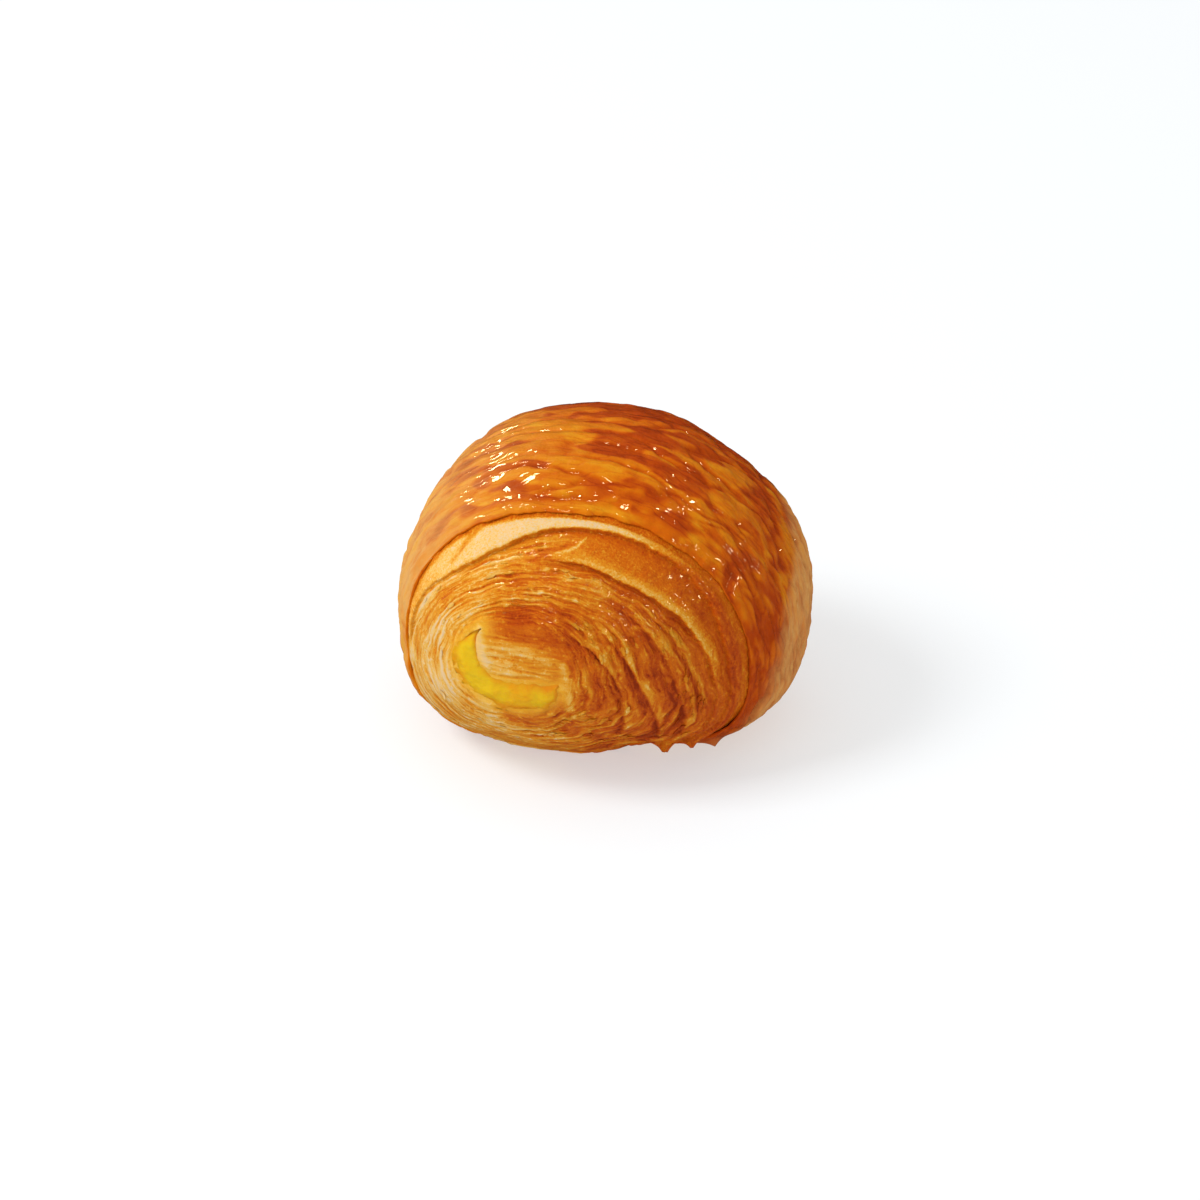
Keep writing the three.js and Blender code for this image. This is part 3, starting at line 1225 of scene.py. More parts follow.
    def height(self, ground: EndGround) -> Array:
        """Return how far each place stands out of the smooth dome, in mm."""
        share, turn, base, smooth = ground.share, ground.turn, ground.base, ground.smooth
        vary = Unevenness(self.seed)
        fan = 0.65 + 0.75 * bump(ground.angle, 335.0, 60.0)
        depth = self.leaf_depth * fan * (1.0 - 0.35 * bump(ground.angle, 180.0, 60.0))
        leaves = ground.shown * (1.0 - ground.crest) - 0.5 * ground.streaks - 0.35 * ground.threads
        height = ground.steps + self.tip_height(share, turn)
        height = height - ground.leafy * depth * leaves
        height = height + ground.tongue * (1.0 - ground.inside) * 0.09 * ground.sheets
        grain = vary.over(base + 90.0, 1.1, 1.1, 1.1)
        broad = vary.over(base + 20.0, 6.0, 6.0, 6.0)
        height = height + 0.07 * grain + 0.20 * broad * ease(share, 0.0, 0.3)
        height = height + smooth * 0.10 * vary.over(base + 33.0, 2.4, 2.4, 2.4)
        height = height + smooth * 0.10 * ground.threads * bump(turn, -10.0, 50.0)
        for ridge, (deep, high) in zip(self.ridges, ground.ridges):
            height = height - ridge.step * (deep - 0.3 * high)
        height = height + ground.leafy * (0.07 * ground.flecks + 0.22 * ground.bands)
        height = height - 0.10 * ground.wet
        for streak, mark in zip(self.streaks, ground.marks):
            height = height + streak.rise * mark
        rim_zone = ease(share, 0.962, 0.985)
        return blend(height, np.minimum(height, -self.rim_drop(turn)), rim_zone)

    def colouring(self, ground: EndGround) -> tuple[Array, Array]:
        """Return how brown each place is baked, with painted light on raised leaf edges and painted
        shade in hollows, grooves and under edges, and how bare and powdery it is.
        """
        share, turn, leafy = ground.share, ground.turn, ground.leafy
        # Painted light and shade: raised crests, streaks, threads, flecks and bands are painted
        # paler and the hollows between them darker.
        ripple = 0.26 * ground.shown * (0.42 - ground.crest)
        ripple = ripple - 0.10 * ground.groups - 0.16 * ground.bands
        tone = self.region_tone(share, turn) + leafy * ripple
        fine = (0.12 + 0.12 * bump(ground.angle, 345.0, 60.0)) * ground.threads
        tone = tone - leafy * (0.10 * ground.streaks + fine + 0.24 * ground.flecks)
        tone = tone + 0.13 * Unevenness(self.seed).over(ground.base + 60.0, 4.0, 4.0, 4.0)
        # Painted shade in the grooves beside the thick leaves, painted highlight on their lips.
        tone = tone + 0.50 * ground.groove**2 - 0.22 * ground.lip**2
        bare = 0.25 * leafy * (1.0 - 0.8 * bump(turn, -20.0, 55.0))
        for number in range(len(self.edges)):
            tone, bare = self.colour_wrap(number, ground, tone, bare)
        # Painted light: the tongue's raised sheets are painted paler.
        tone = blend(tone, 0.30 - 0.20 * ground.sheets, ground.tongue * (1.0 - ground.inside))
        # Painted shade where the leaves run under the crust's rim, lighter at the left where the
        # two merge.
        shade_under_rim = 0.60 - 0.34 * bump(turn, 205.0, 50.0)
        tone = blend(tone, shade_under_rim, ease(share, 0.955, 0.975))
        for streak, mark in zip(self.streaks, ground.marks):
            tone = blend(tone, streak.tone, mark)
            bare = blend(bare, streak.powder, mark)
        return tone, bare

    def colour_wrap(
        self, number: int, ground: EndGround, tone: Array, bare: Array
    ) -> tuple[Array, Array]:
        """Lay the colours of the wrap outside one edge over those of the leaves.

        Args:
            number: Which edge, counted from the innermost.
            ground: The places of this end.
            tone: How brown each place is so far.
            bare: How bare each place is so far.

        Returns:
            The tone and the bareness with this wrap.
        """
        share, turn = ground.share, ground.turn
        edge = self.edges[number]
        outermost = number == len(self.edges) - 1
        line = edge.line(turn)
        beyond = ease(share - line, 0.0, 0.012) * edge.strength(turn)
        if number > 0:
            beyond = beyond * (1.0 - ease(self.edges[0].line(turn) - share, -0.01, 0.0))
        patches = Unevenness(self.seed).over(ground.base, 3.0, 3.0, 3.0)
        wrap = self.band_tone(number, turn) + 0.05 * patches
        # Painted light and shade: paler where threads stand up, darker in the grooves of the thick
        # leaves.
        wrap = wrap - 0.14 * ground.threads * bump(turn, -5.0, 45.0) + 0.42 * ground.groove**2
        powder = 1.0 if outermost else 0.7
        powder = powder * (1.0 - 0.7 * within(turn, -60.0, 45.0, 40.0))
        # Painted shade: a red-brown line just inside the edge, where the wrap's edge stands over
        # the next wrap.
        under = edge.strength(turn) * swell(share - line, -0.010, 0.022)
        red = 0.42 + 0.30 * within(turn, -60.0, 100.0, 60.0)
        tone = blend(tone, red, 0.9 * under * (1.0 - beyond))
        tone = blend(tone, wrap, beyond)
        bare = blend(bare, powder, beyond)
        if outermost:
            return tone, bare
        pale = beyond * np.exp(-(np.maximum(share - line, 0.0) / 0.055) ** 2)
        pale = pale * (1.0 - 0.7 * within(turn, -60.0, 6.0, 36.0))
        return blend(tone, 0.14, 0.9 * pale), blend(bare, 1.0, pale)

    def shred_share(self, ground: EndGround) -> Array:
        """Return how thickly loose shreds lie at each place, with few beside the wraps' edges."""
        share, turn = ground.share, ground.turn
        clear = 1.0 - ease(share, 0.90, 0.94)
        for edge in self.edges:
            clear = clear * (1.0 - edge.strength(turn) * swell(share, edge.line(turn), 0.035))
        loose = ease(ground.groups + 0.6 * ground.bands, -0.2, 0.5)
        shreds = ground.leafy * clear * (1.0 - 0.9 * ground.wet) * loose
        return shreds * (1.0 - 0.85 * bump(turn, 190.0, 55.0))

    def build(self) -> Skin:
        """Work out the whole surface.

        Returns:
            The closed skin of this half of the roll's inside.
        """
        ground = self.ground()
        share, turn = ground.share, ground.turn
        outward = self.form.dome_outward(share, turn, self.end)
        points = ground.base + outward * self.height(ground)[..., None]
        tone, bare = self.colouring(ground)
        leafy = ground.leafy + 0.8 * ground.smooth * bump(turn, -8.0, 45.0)
        kept = {
            "tone": tone,
            "bare": bare,
            "wet": ground.wet,
            "shreds": self.shred_share(ground),
            "lie": self.form.dome_point(share, turn + 1.0, self.end) - ground.base,
            "fibre": self.fibre(ground.running, turn),
            "leafy": np.clip(leafy, 0.0, 1.0),
            "sheeted": 1.0 - ground.inside,
        }
        rows, values = self.add_inside(points, kept)
        return loft(rows, (points[0].mean(axis=0), self.middle_pole()), values)

    def fibre(self, running: Array, degrees: Array) -> Array:
        """Return places for noise that is drawn out along the leaves into fine threads."""
        round_turn = np.radians(degrees)
        across = running - self.leaf_field.arms * self.leaf_field.angle(degrees) / 360.0
        reach = math.degrees(1.0) / self.thread_length
        places = [reach * np.cos(round_turn), reach * np.sin(round_turn), across * self.threads]
        return np.stack(places, axis=-1)

    def wetness(self, points: Array) -> Array:
        """Return 1 beside the custard, where it soaked the leaves, and 0 away from it."""
        loop = self.hook.loop(40, 0.0)
        place = points[..., [0, 2]].reshape(-1, 2)
        away = np.full(len(place), np.inf)
        for x, z in loop:
            away = np.minimum(away, np.hypot(place[:, 0] - x, place[:, 1] - z))
        return swell(away, 0.0, self.soak).reshape(points.shape[:-1])

    def middle_pole(self) -> Array:
        """Return the point that closes the half at the roll's middle."""
        return np.array([self.form.core_x, self.half_gap * self.end.value, self.form.core_z])

    def add_inside(self, points: Array, values: dict[str, Array]) -> tuple[Array, dict[str, Array]]:
        """Add the rows that run under the outer wrap to the roll's middle.

        Args:
            points: The rows that show.
            values: The numbers kept on them.

        Returns:
            All rows, and the numbers for all of them.
        """
        form = self.form
        degrees = self.turns()
        hidden = []
        for part in (0.004, 0.03, 0.12, 0.3, 0.495):
            offset = blend(self.rim_drop(degrees), self.tucked, ease(np.array(part), 0.0, 0.04))
            offset = offset[:, None] + self.clearance
            along = np.full_like(degrees, part if self.end is End.NEAR else 1.0 - part)
            row = form.body_point(along, degrees)
            row = row - form.body_outward(along, degrees) * offset
            row[:, 2] = np.maximum(row[:, 2], offset[:, 0])
            hidden.append(row)
        middle = hidden[-1].copy()
        middle[:, 1] = self.half_gap * self.end.value
        hidden.append(middle)
        centre = self.middle_pole()
        for part in (0.6, 0.25):
            hidden.append(centre + (middle - centre) * part)
        rows = np.concatenate([points, np.array(hidden)])
        rows[..., 2] = np.maximum(rows[..., 2], 0.0)
        filled = {
            key: np.concatenate([value, np.repeat(value[-1:], len(hidden), axis=0)])
            for key, value in values.items()
        }
        filled["shreds"][len(points) :] = 0.0
        return rows, filled


# The outer wrap


@dataclass
class OuterWrap:
    """The glazed crust between the two rims, a closed shell with rounded lips."""

    form: RollForm
    columns: int = 620
    rows: int = 140
    lip_rows: int = 6
    thickness: float = 0.80
    lip_thickness: float = 0.46
    crowd_angle: float = 60.0
    crowd: float = 18.0
    tooth_angle: float = -35.0
    tooth_along: float = 0.085
    seed: int = 31

    def relief(self, along: Array, degrees: Array, base: Array) -> tuple[Array, Array]:
        """Work out the folds and blisters of the crust.

        Args:
            along: Shares of the way from the near rim to the far one.
            degrees: Angles round the roll.
            base: The smooth points.

        Returns:
            The height in mm, at most about 0, and how far each place lies in a crease.
        """
        vary = Unevenness(self.seed)
        slant = base.copy()
        slant[..., 1] = base[..., 1] - self.form.skew * base[..., 0] * (1.0 - along)
        slant[..., 1] += 1.3 * vary.over(slant + 50.0, 9.0, 5.0, 9.0)
        slant[..., 1] += 0.40 * vary.over(slant + 20.0, 2.6, 2.0, 2.6)
        right = within(degrees, -50.0, 70.0, 50.0)
        folds = vary.over(slant, 15.0, 3.6, 15.0)
        minor = vary.over(slant + 30.0, 8.0, 1.6, 8.0)
        shown = ease(vary.over(base, 7.0, 5.0, 7.0), -0.35, 0.35)
        creases = np.exp(-((folds / 0.12) ** 2)) * (0.35 + 0.65 * shown)
        small = np.exp(-((minor / 0.16) ** 2)) * (1.0 - shown) * (0.35 + 0.65 * right)
        bulges = vary.over(base + 80.0, 2.7, 1.9, 2.7)
        crinkle = vary.over(slant + 70.0, 1.3, 1.0, 1.3)
        broad = vary.over(base + 10.0, 13.0, 8.0, 13.0)
        creases = creases * (1.0 + 0.5 * right)
        height = -0.34 * creases - 0.22 * small + 0.16 * np.abs(folds)
        height = height + 0.17 * bulges + (0.05 + 0.05 * right) * crinkle + 0.28 * broad
        rim_lines = 1.2 * bump(degrees, 10.0, 50.0) * (1.0 - ease(along, 0.12, 0.32))
        rim_lines = rim_lines + bump(degrees, 205.0, 40.0) * (1.0 - ease(along, 0.15, 0.35))
        rim_lines = rim_lines + 0.6 * bump(degrees, 60.0, 50.0) * (1.0 - ease(along, 0.03, 0.12))
        rim_lines = rim_lines + 0.5 * bump(degrees, 120.0, 45.0) * (1.0 - ease(along, 0.06, 0.16))
        rim_lines = rim_lines + np.minimum(self.bare(along, degrees), 1.0)
        leaves = vary.at(base[..., 0] / 14.0, along * 34.0 + 0.8 * minor, base[..., 2] / 14.0)
        height = height + rim_lines * 0.30 * leaves
        crease = creases + 0.8 * small + 0.9 * rim_lines * np.maximum(-leaves, 0.0)
        folded = self.rim_fold(along, degrees)
        height = height - 0.40 * folded
        aside = np.abs(apart(degrees, self.tooth_angle))
        tooth = 1.3 * np.exp(-aside / 2.2) * swell(along, self.tooth_along, 0.022)
        crease = np.clip(crease + 0.6 * folded, 0.0, 1.0)
        return np.minimum(height + 0.02, 0.30) + tooth, crease

    def rim_fold(self, along: Array, degrees: Array) -> Array:
        """Return 1 in the fold that leaves the near rim at the right and runs down, which is dented
        and painted dark with the creases as shade.
        """
        path = ((18, -0.005), (8, 0.017), (-2, 0.047), (-20, 0.10), (-38, 0.17))
        shown = within(degrees, -45.0, 19.0, 10.0)
        return shown * swell(along - follow(degrees, path), 0.0, 0.011)

    def tone(self, along: Array, degrees: Array, base: Array, crease: Array) -> Array:
        """Return how brown the crust is baked, from 0 to 1, with painted shade in its creases and a
        left side made paler, partly as painted sheen.
        """
        vary = Unevenness(self.seed + 1)
        slant = base.copy()
        slant[..., 1] += 1.0 * vary.over(base + 5.0, 5.0, 3.0, 5.0)
        patches = vary.over(slant, 8.5, 2.4, 8.5) + 0.4 * vary.over(slant + 9.0, 3.6, 1.3, 3.6)
        gold = ease(vary.over(base + 40.0, 3.4, 2.0, 3.4), 0.05, 0.60)
        right = within(degrees, -50.0, 50.0, 50.0)
        lens = (0.44 - 0.24 * right) * ease(patches, -0.02, 0.30)
        # Painted shade: creases, folds and rim lines of the relief are painted darker.
        tone = 0.28 + lens - 0.14 * gold + (0.30 + 0.12 * right) * crease
        tone = tone + 0.10 * vary.over(base + 70.0, 12.0, 9.0, 12.0)
        tone = tone + 0.32 * bump(degrees, 78, 42) * swell(along, 0.85, 0.22)
        tone = tone + 0.18 * bump(degrees, 82, 34) * swell(along, 0.14, 0.08)
        tone = tone + 0.06 * bump(degrees, 30, 45) * (1.0 - ease(along, 0.5, 0.9))
        tone = tone + 0.26 * bump(degrees, 328, 34)
        # Paler on the left: partly the crust's golden colour, partly painted sheen from the light
        # at the left.
        tone = tone - 0.26 * bump(degrees, 170, 40)
        tone = tone - 0.24 * bump(degrees, 200, 44) * (1.0 - ease(along, 0.2, 0.8))
        low_rim = bump(degrees, -18.0, 34.0) * (1.0 - ease(along, 0.08, 0.30))
        golden = within(degrees, 60.0, 215.0, 40.0) * (1.0 - ease(along, 0.03, 0.07))
        tone = blend(tone, 0.18, 0.8 * golden)
        brown = within(degrees, 50.0, 200.0, 40.0) * (1.0 - ease(along, 0.003, 0.014))
        return np.minimum(blend(tone, 0.50, 0.8 * brown) + 0.20 * low_rim, 0.76)

    def bare(self, along: Array, degrees: Array) -> Array:
        """Return 1 where the crust missed the egg wash, low on the far right side, and at the left
        edge, where the same pale matt colour is painted sheen.
        """
        path = ((-60, 0.05), (0, 0.10), (6, 0.16), (13, 0.26), (19, 0.38), (40, 0.9))
        line = follow(degrees, path) + 0.05 * ragged(degrees, 5.0, self.seed)
        low_side = within(degrees, -70.0, 34.0, 14.0) * ease(along - line, -0.05, 0.13)
        # The bump at the left edge paints sheen with the bare colour.
        return np.maximum(low_side, 1.25 * bump(degrees, 162.0, 32.0))

    def matt(self, along: Array, degrees: Array) -> Array:
        """Return 1 where the crust doesn't shine, which adds the torn edge of the near rim."""
        unwashed = np.minimum(self.bare(along, degrees), 1.0)
        return np.maximum(unwashed, 0.6 * (1.0 - ease(along, 0.005, 0.025)))

    def torn(self, along: Array, degrees: Array) -> Array:
        """Return how far the near rim's torn edge stands forward, in mm."""
        edge = 0.45 * ragged(degrees, 9.0, self.seed) + 0.25 * ragged(degrees, 2.6, self.seed)
        return edge * (1.0 - ease(along, 0.0, 0.10))

    def wall_depth(self, along: Array) -> Array:
        """Return the shell's thickness in mm, which is less at both rims."""
        inwards = np.minimum(along, 1.0 - along)
        return self.lip_thickness + (self.thickness - self.lip_thickness) * ease(inwards, 0.0, 0.05)

    def build(self) -> Skin:
        """Work out the shell.

        Returns:
            The closed skin.
        """
        degrees = crowded_turns(self.columns, self.crowd, self.crowd_angle)
        along = np.linspace(0.0, 1.0, self.rows)[:, None] + 0 * degrees
        turn = np.broadcast_to(degrees, along.shape)
        base = self.form.body_point(along, turn)
        calm = ease(along, 0.0, 0.02) * (1.0 - ease(along, 0.98, 1.0))
        height, crease = self.relief(along, turn, base)
        height = height * (0.35 + 0.65 * calm)
        outer = base + self.form.body_outward(along, turn) * height[..., None]
        outer[..., 1] -= self.torn(along, turn)
        tone = self.tone(along, turn, base, crease)
        lip_tone = 0.40 + 0.30 * bump(degrees, -10.0, 50.0) - 0.20 * bump(degrees, 200.0, 40.0)
        sheets = (
            (outer, tone, self.bare(along, turn), self.matt(along, turn)),
            (self.lip(degrees, End.FAR, height[-1]), lip_tone, 0.0, 0.7),
            (self.inner_wall(degrees)[::-1], 0.5, 1.0, 1.0),
            (self.lip(degrees, End.NEAR, height[0])[::-1], lip_tone, 0.0, 0.7),
        )
        points = np.concatenate([sheet[0] for sheet in sheets])
        points[..., 2] = np.maximum(points[..., 2], 0.0)
        values = {}
        for place, name in enumerate(("tone", "bare", "matt"), start=1):
            spread = [np.broadcast_to(sheet[place], sheet[0].shape[:2]) for sheet in sheets]
            values[name] = np.concatenate(spread)
        return loft(points, None, values)

    def lip(self, degrees: Array, end: End, edge_height: Array) -> Array:
        """Return the rounded lip at one rim, from the outside to the inside."""
        form = self.form
        along = np.full_like(degrees, 1.0 if end is End.FAR else 0.0)
        rim = form.body_point(along, degrees)
        outward = form.body_outward(along, degrees)
        ahead = np.array([0.0, float(end.value), 0.0])
        ahead = ahead - outward * (outward @ ahead)[:, None]
        rim[:, 1] -= self.torn(along, degrees)
        half = self.lip_thickness / 2
        rows = []
        for bend in np.linspace(0.0, 180.0, self.lip_rows + 2)[1:-1]:
            turn = math.radians(bend)
            depth = -half + half * math.cos(turn)
            lifted = depth + edge_height * (1.0 + math.cos(turn)) / 2
            rows.append(rim + outward * lifted[:, None] + ahead * half * 0.8 * math.sin(turn))
        return np.array(rows)

    def inner_wall(self, degrees: Array) -> Array:
        """Return the shell's inner wall from the near rim to the far one."""
        stops = np.array([0.0, 0.03, 0.08, 0.35, 0.65, 0.92, 0.97, 1.0])
        along = stops[:, None] + 0 * degrees
        turn = np.broadcast_to(degrees, along.shape)
        depth = self.wall_depth(along)
        wall = self.form.body_point(along, turn)
        wall = wall - self.form.body_outward(along, turn) * depth[..., None]
        wall[..., 1] -= self.torn(along, turn)
        wall[..., 2] = np.maximum(wall[..., 2], depth)
        return wall


# The custard


@dataclass
class CustardBar:
    """The filling: a bar of the hook's outline that wells a little over its channel's edges."""

    form: RollForm
    outline: CustardOutline
    ways: int = 150
    depths: int = 30
    side_rows: int = 8
    swelling: float = 0.40
    spill: tuple[float, float] = (0.035, 0.30)
    edge_drop: float = 0.17
    hollow: float = 0.5
    wall_sunk: float = 1.8
    clearance: float = 0.15
    cutter_points: int = 60
    seed: int = 53

    def grid(self) -> tuple[Array, Array]:
        """Return the face's shares along and across the hook, as ways by depths."""
        way = np.linspace(0.0, 1.0, self.ways)[:, None]
        depth = np.linspace(0.0, 1.0, self.depths)[None, :]
        return np.broadcast_arrays(way, depth)

    def face(self, end: End) -> tuple[Array, Array]:
        """Return one end's face as ways by depths, and its tone, which holds painted shade at the
        edges and in the hollow at the thin end.
        """
        way, depth = self.grid()
        x, z = self.outline.across(way, depth, self.spill)
        vary = Unevenness(self.seed)
        uneven = vary.at(x / 2.2, z / 2.2, 0.3)
        wavy = vary.at(x / 1.7, z / 1.7, 5.3) + 0.6 * vary.at(x / 0.7, z / 0.7, 9.3)
        from_side = (1.0 - np.abs(2 * depth - 1)) / 0.85
        from_end = (1.0 - np.abs(2 * way - 1)) / 0.12
        rounding = ease(np.minimum(from_side, from_end), 0.0, 1.0)
        away = np.hypot(
            (x - self.form.core_x) / self.form.core.left, (z - self.form.core_z) / self.form.core.up
        )
        share = self.form.core_share * away
        rise = self.form.bulge(end) * (1.0 - share**self.form.dome)
        sunk = 1.0 - ease(way, 0.05, 0.20)
        height = self.swelling * rounding * (1.0 + 0.35 * uneven) + 0.13 * wavy
        height = height - self.edge_drop - self.hollow * sunk * rounding
        y = end.value * (self.form.body_length / 2 + rise + height)
        if end is End.NEAR:
            out = np.maximum(0.0, (share - self.form.core_share) / (1 - self.form.core_share))
            y = y + self.form.skew * x * out
        # Painted shade: the tone deepens at the face's rounded edges and in the sunk hollow at its
        # thin end; it also varies at random and deepens towards the blunt end.
        tone = 0.80 - 0.75 * rounding + 0.35 * uneven + 0.5 * sunk + 0.40 * ease(way, 0.4, 1.0)
        return np.stack([x, y, z], axis=-1), tone

    def wall_row(self, part: float, ring: Array) -> Array:
        """Return one row of the bar's side, which fills the channel between the two faces."""
        way, depth = self.grid()
        x, z = self.outline.across(way.ravel()[ring], depth.ravel()[ring])
        reach = self.form.body_length / 2
        near = -(reach + self.form.bulge(End.NEAR) - self.wall_sunk)
        far = reach + self.form.bulge(End.FAR) - self.wall_sunk
        return np.stack([x, np.full(len(ring), near + (far - near) * part), z], axis=-1)

    def build(self) -> Skin:
        """Work out the bar.

        Returns:
            The closed skin.
        """
        near, near_tone = self.face(End.NEAR)
        far, far_tone = self.face(End.FAR)
        count = self.ways * self.depths
        index = np.arange(count).reshape(self.ways, self.depths)
        cells = [index[:-1, :-1], index[1:, :-1], index[1:, 1:], index[:-1, 1:]]
        grid = np.stack(cells, axis=-1).reshape(-1, 4)
        ring = np.concatenate([index[:-1, 0], index[-1, :-1], index[:0:-1, -1], index[0, :0:-1]])
        points = [near.reshape(-1, 3), far.reshape(-1, 3)]
        tones = [near_tone.ravel(), far_tone.ravel()]
        rows = [ring]
        for number, part in enumerate(np.linspace(0.0, 1.0, self.side_rows)):
            points.append(self.wall_row(part, ring))
            tones.append(np.full(len(ring), 0.5))
            rows.append(2 * count + number * len(ring) + np.arange(len(ring)))
        rows.append(ring + count)
        quads = [grid[:, ::-1], grid + count]
        for first, second in zip(rows[:-1], rows[1:]):
            after = (np.roll(first, -1), np.roll(second, -1))
            quads.append(np.stack([after[0], after[1], second, first], axis=-1))
        skin = Skin(np.concatenate(points), np.concatenate(quads), np.zeros((0, 3), int))
        skin.values["tone"] = np.concatenate(tones)
        return skin

    def cutter(self) -> Skin:
        """Return a plain bar, longer than the roll, that cuts the custard's channel."""
        loop = self.outline.loop(self.cutter_points, self.clearance)
        reach = self.form.depth
        rows = []
        for y in (-reach, reach):
            rows.append(np.stack([loop[:, 0], np.full(len(loop), y), loop[:, 1]], axis=-1))
        count = len(loop)
        half = count // 2
        index = np.arange(count)
        side = np.stack([index, np.roll(index, -1), np.roll(index, -1) + count, index + count], -1)
        first = np.arange(half - 1)
        lids = np.stack([first, count - 1 - first, count - 2 - first, first + 1], axis=-1)
        quads = np.concatenate([side, lids, lids[:, ::-1] + count])
        return Skin(np.concatenate(rows), quads, np.zeros((0, 3), int))


def cut_channel(dough: bpy.types.Object, cutter: bpy.types.Object) -> None:
    """Cut one solid out of another and keep the numbers on the points.

    Args:
        dough: The object that is cut, whose mesh is replaced.
        cutter: The object that cuts.
    """
    names = [a.name for a in dough.data.attributes if a.data_type == "FLOAT"]
    before = dough.data
    kept = {}
    for name in names:
        values = np.zeros(len(before.vertices), np.float32)
        before.attributes[name].data.foreach_get("value", values)
        kept[name] = values
    tree = KDTree(len(before.vertices))
    for number, vertex in enumerate(before.vertices):
        tree.insert(vertex.co, number)
    tree.balance()
    modifier = dough.modifiers.new("channel", "BOOLEAN")
    modifier.operation = "DIFFERENCE"
    modifier.object = cutter
    modifier.solver = "MANIFOLD"
    graph = bpy.context.evaluated_depsgraph_get()
    mesh = bpy.data.meshes.new_from_object(dough.evaluated_get(graph))
    dough.modifiers.remove(modifier)
    dough.data = mesh
    bpy.data.meshes.remove(before)
    nearest = np.array([tree.find(vertex.co)[1] for vertex in mesh.vertices])
    for name, values in kept.items():
        if name in mesh.attributes:
            mesh.attributes.remove(mesh.attributes[name])
        store_values(mesh, name, values[nearest])
    mesh.polygons.foreach_set("use_smooth", np.ones(len(mesh.polygons), dtype=bool))


# The loose shreds


@dataclass(frozen=True)
class ShredForm:
    """One thin curled shred of leaf, 1 long along X, which the scatter scales."""

    width: float
    curl: float
    bend: float
    thickness: float = 0.07
    stations: int = 6
    around: int = 6

    def build(self) -> Skin:
        """Work out the shred, closed at both tips."""
        part = np.linspace(0.06, 0.94, self.stations)[:, None]
        turn = np.linspace(0.0, 2.0 * math.pi, self.around, endpoint=False)[None, :]
        breadth = self.width * np.sin(math.pi * part) ** 0.7
        lift = self.curl * (2.0 * part - 1.0) ** 2
        aside = self.bend * (2.0 * part - 1.0) ** 2
        x = part - 0.5 + 0.0 * turn
        y = aside + breadth * np.cos(turn) / 2
        z = lift + self.thickness * (0.5 + np.sin(turn) / 2)
        tips = [np.array([0.5 * side, self.bend, self.curl]) for side in (-1.0, 1.0)]
        return loft(np.stack([x, y, z], axis=-1), (tips[0], tips[1]), {})


SHREDS = (ShredForm(0.32, 0.12, 0.06), ShredForm(0.22, 0.08, -0.10), ShredForm(0.46, 0.16, 0.02))
SCATTER_INPUTS = {
    "Leaves": "Geometry",
    "Shreds": "Collection",
    "Density": "Float",
    "Shortest": "Float",
    "Longest": "Float",
    "Tilt": "Float",
    "Seed": "Int",
    "Finish": "Material",
}


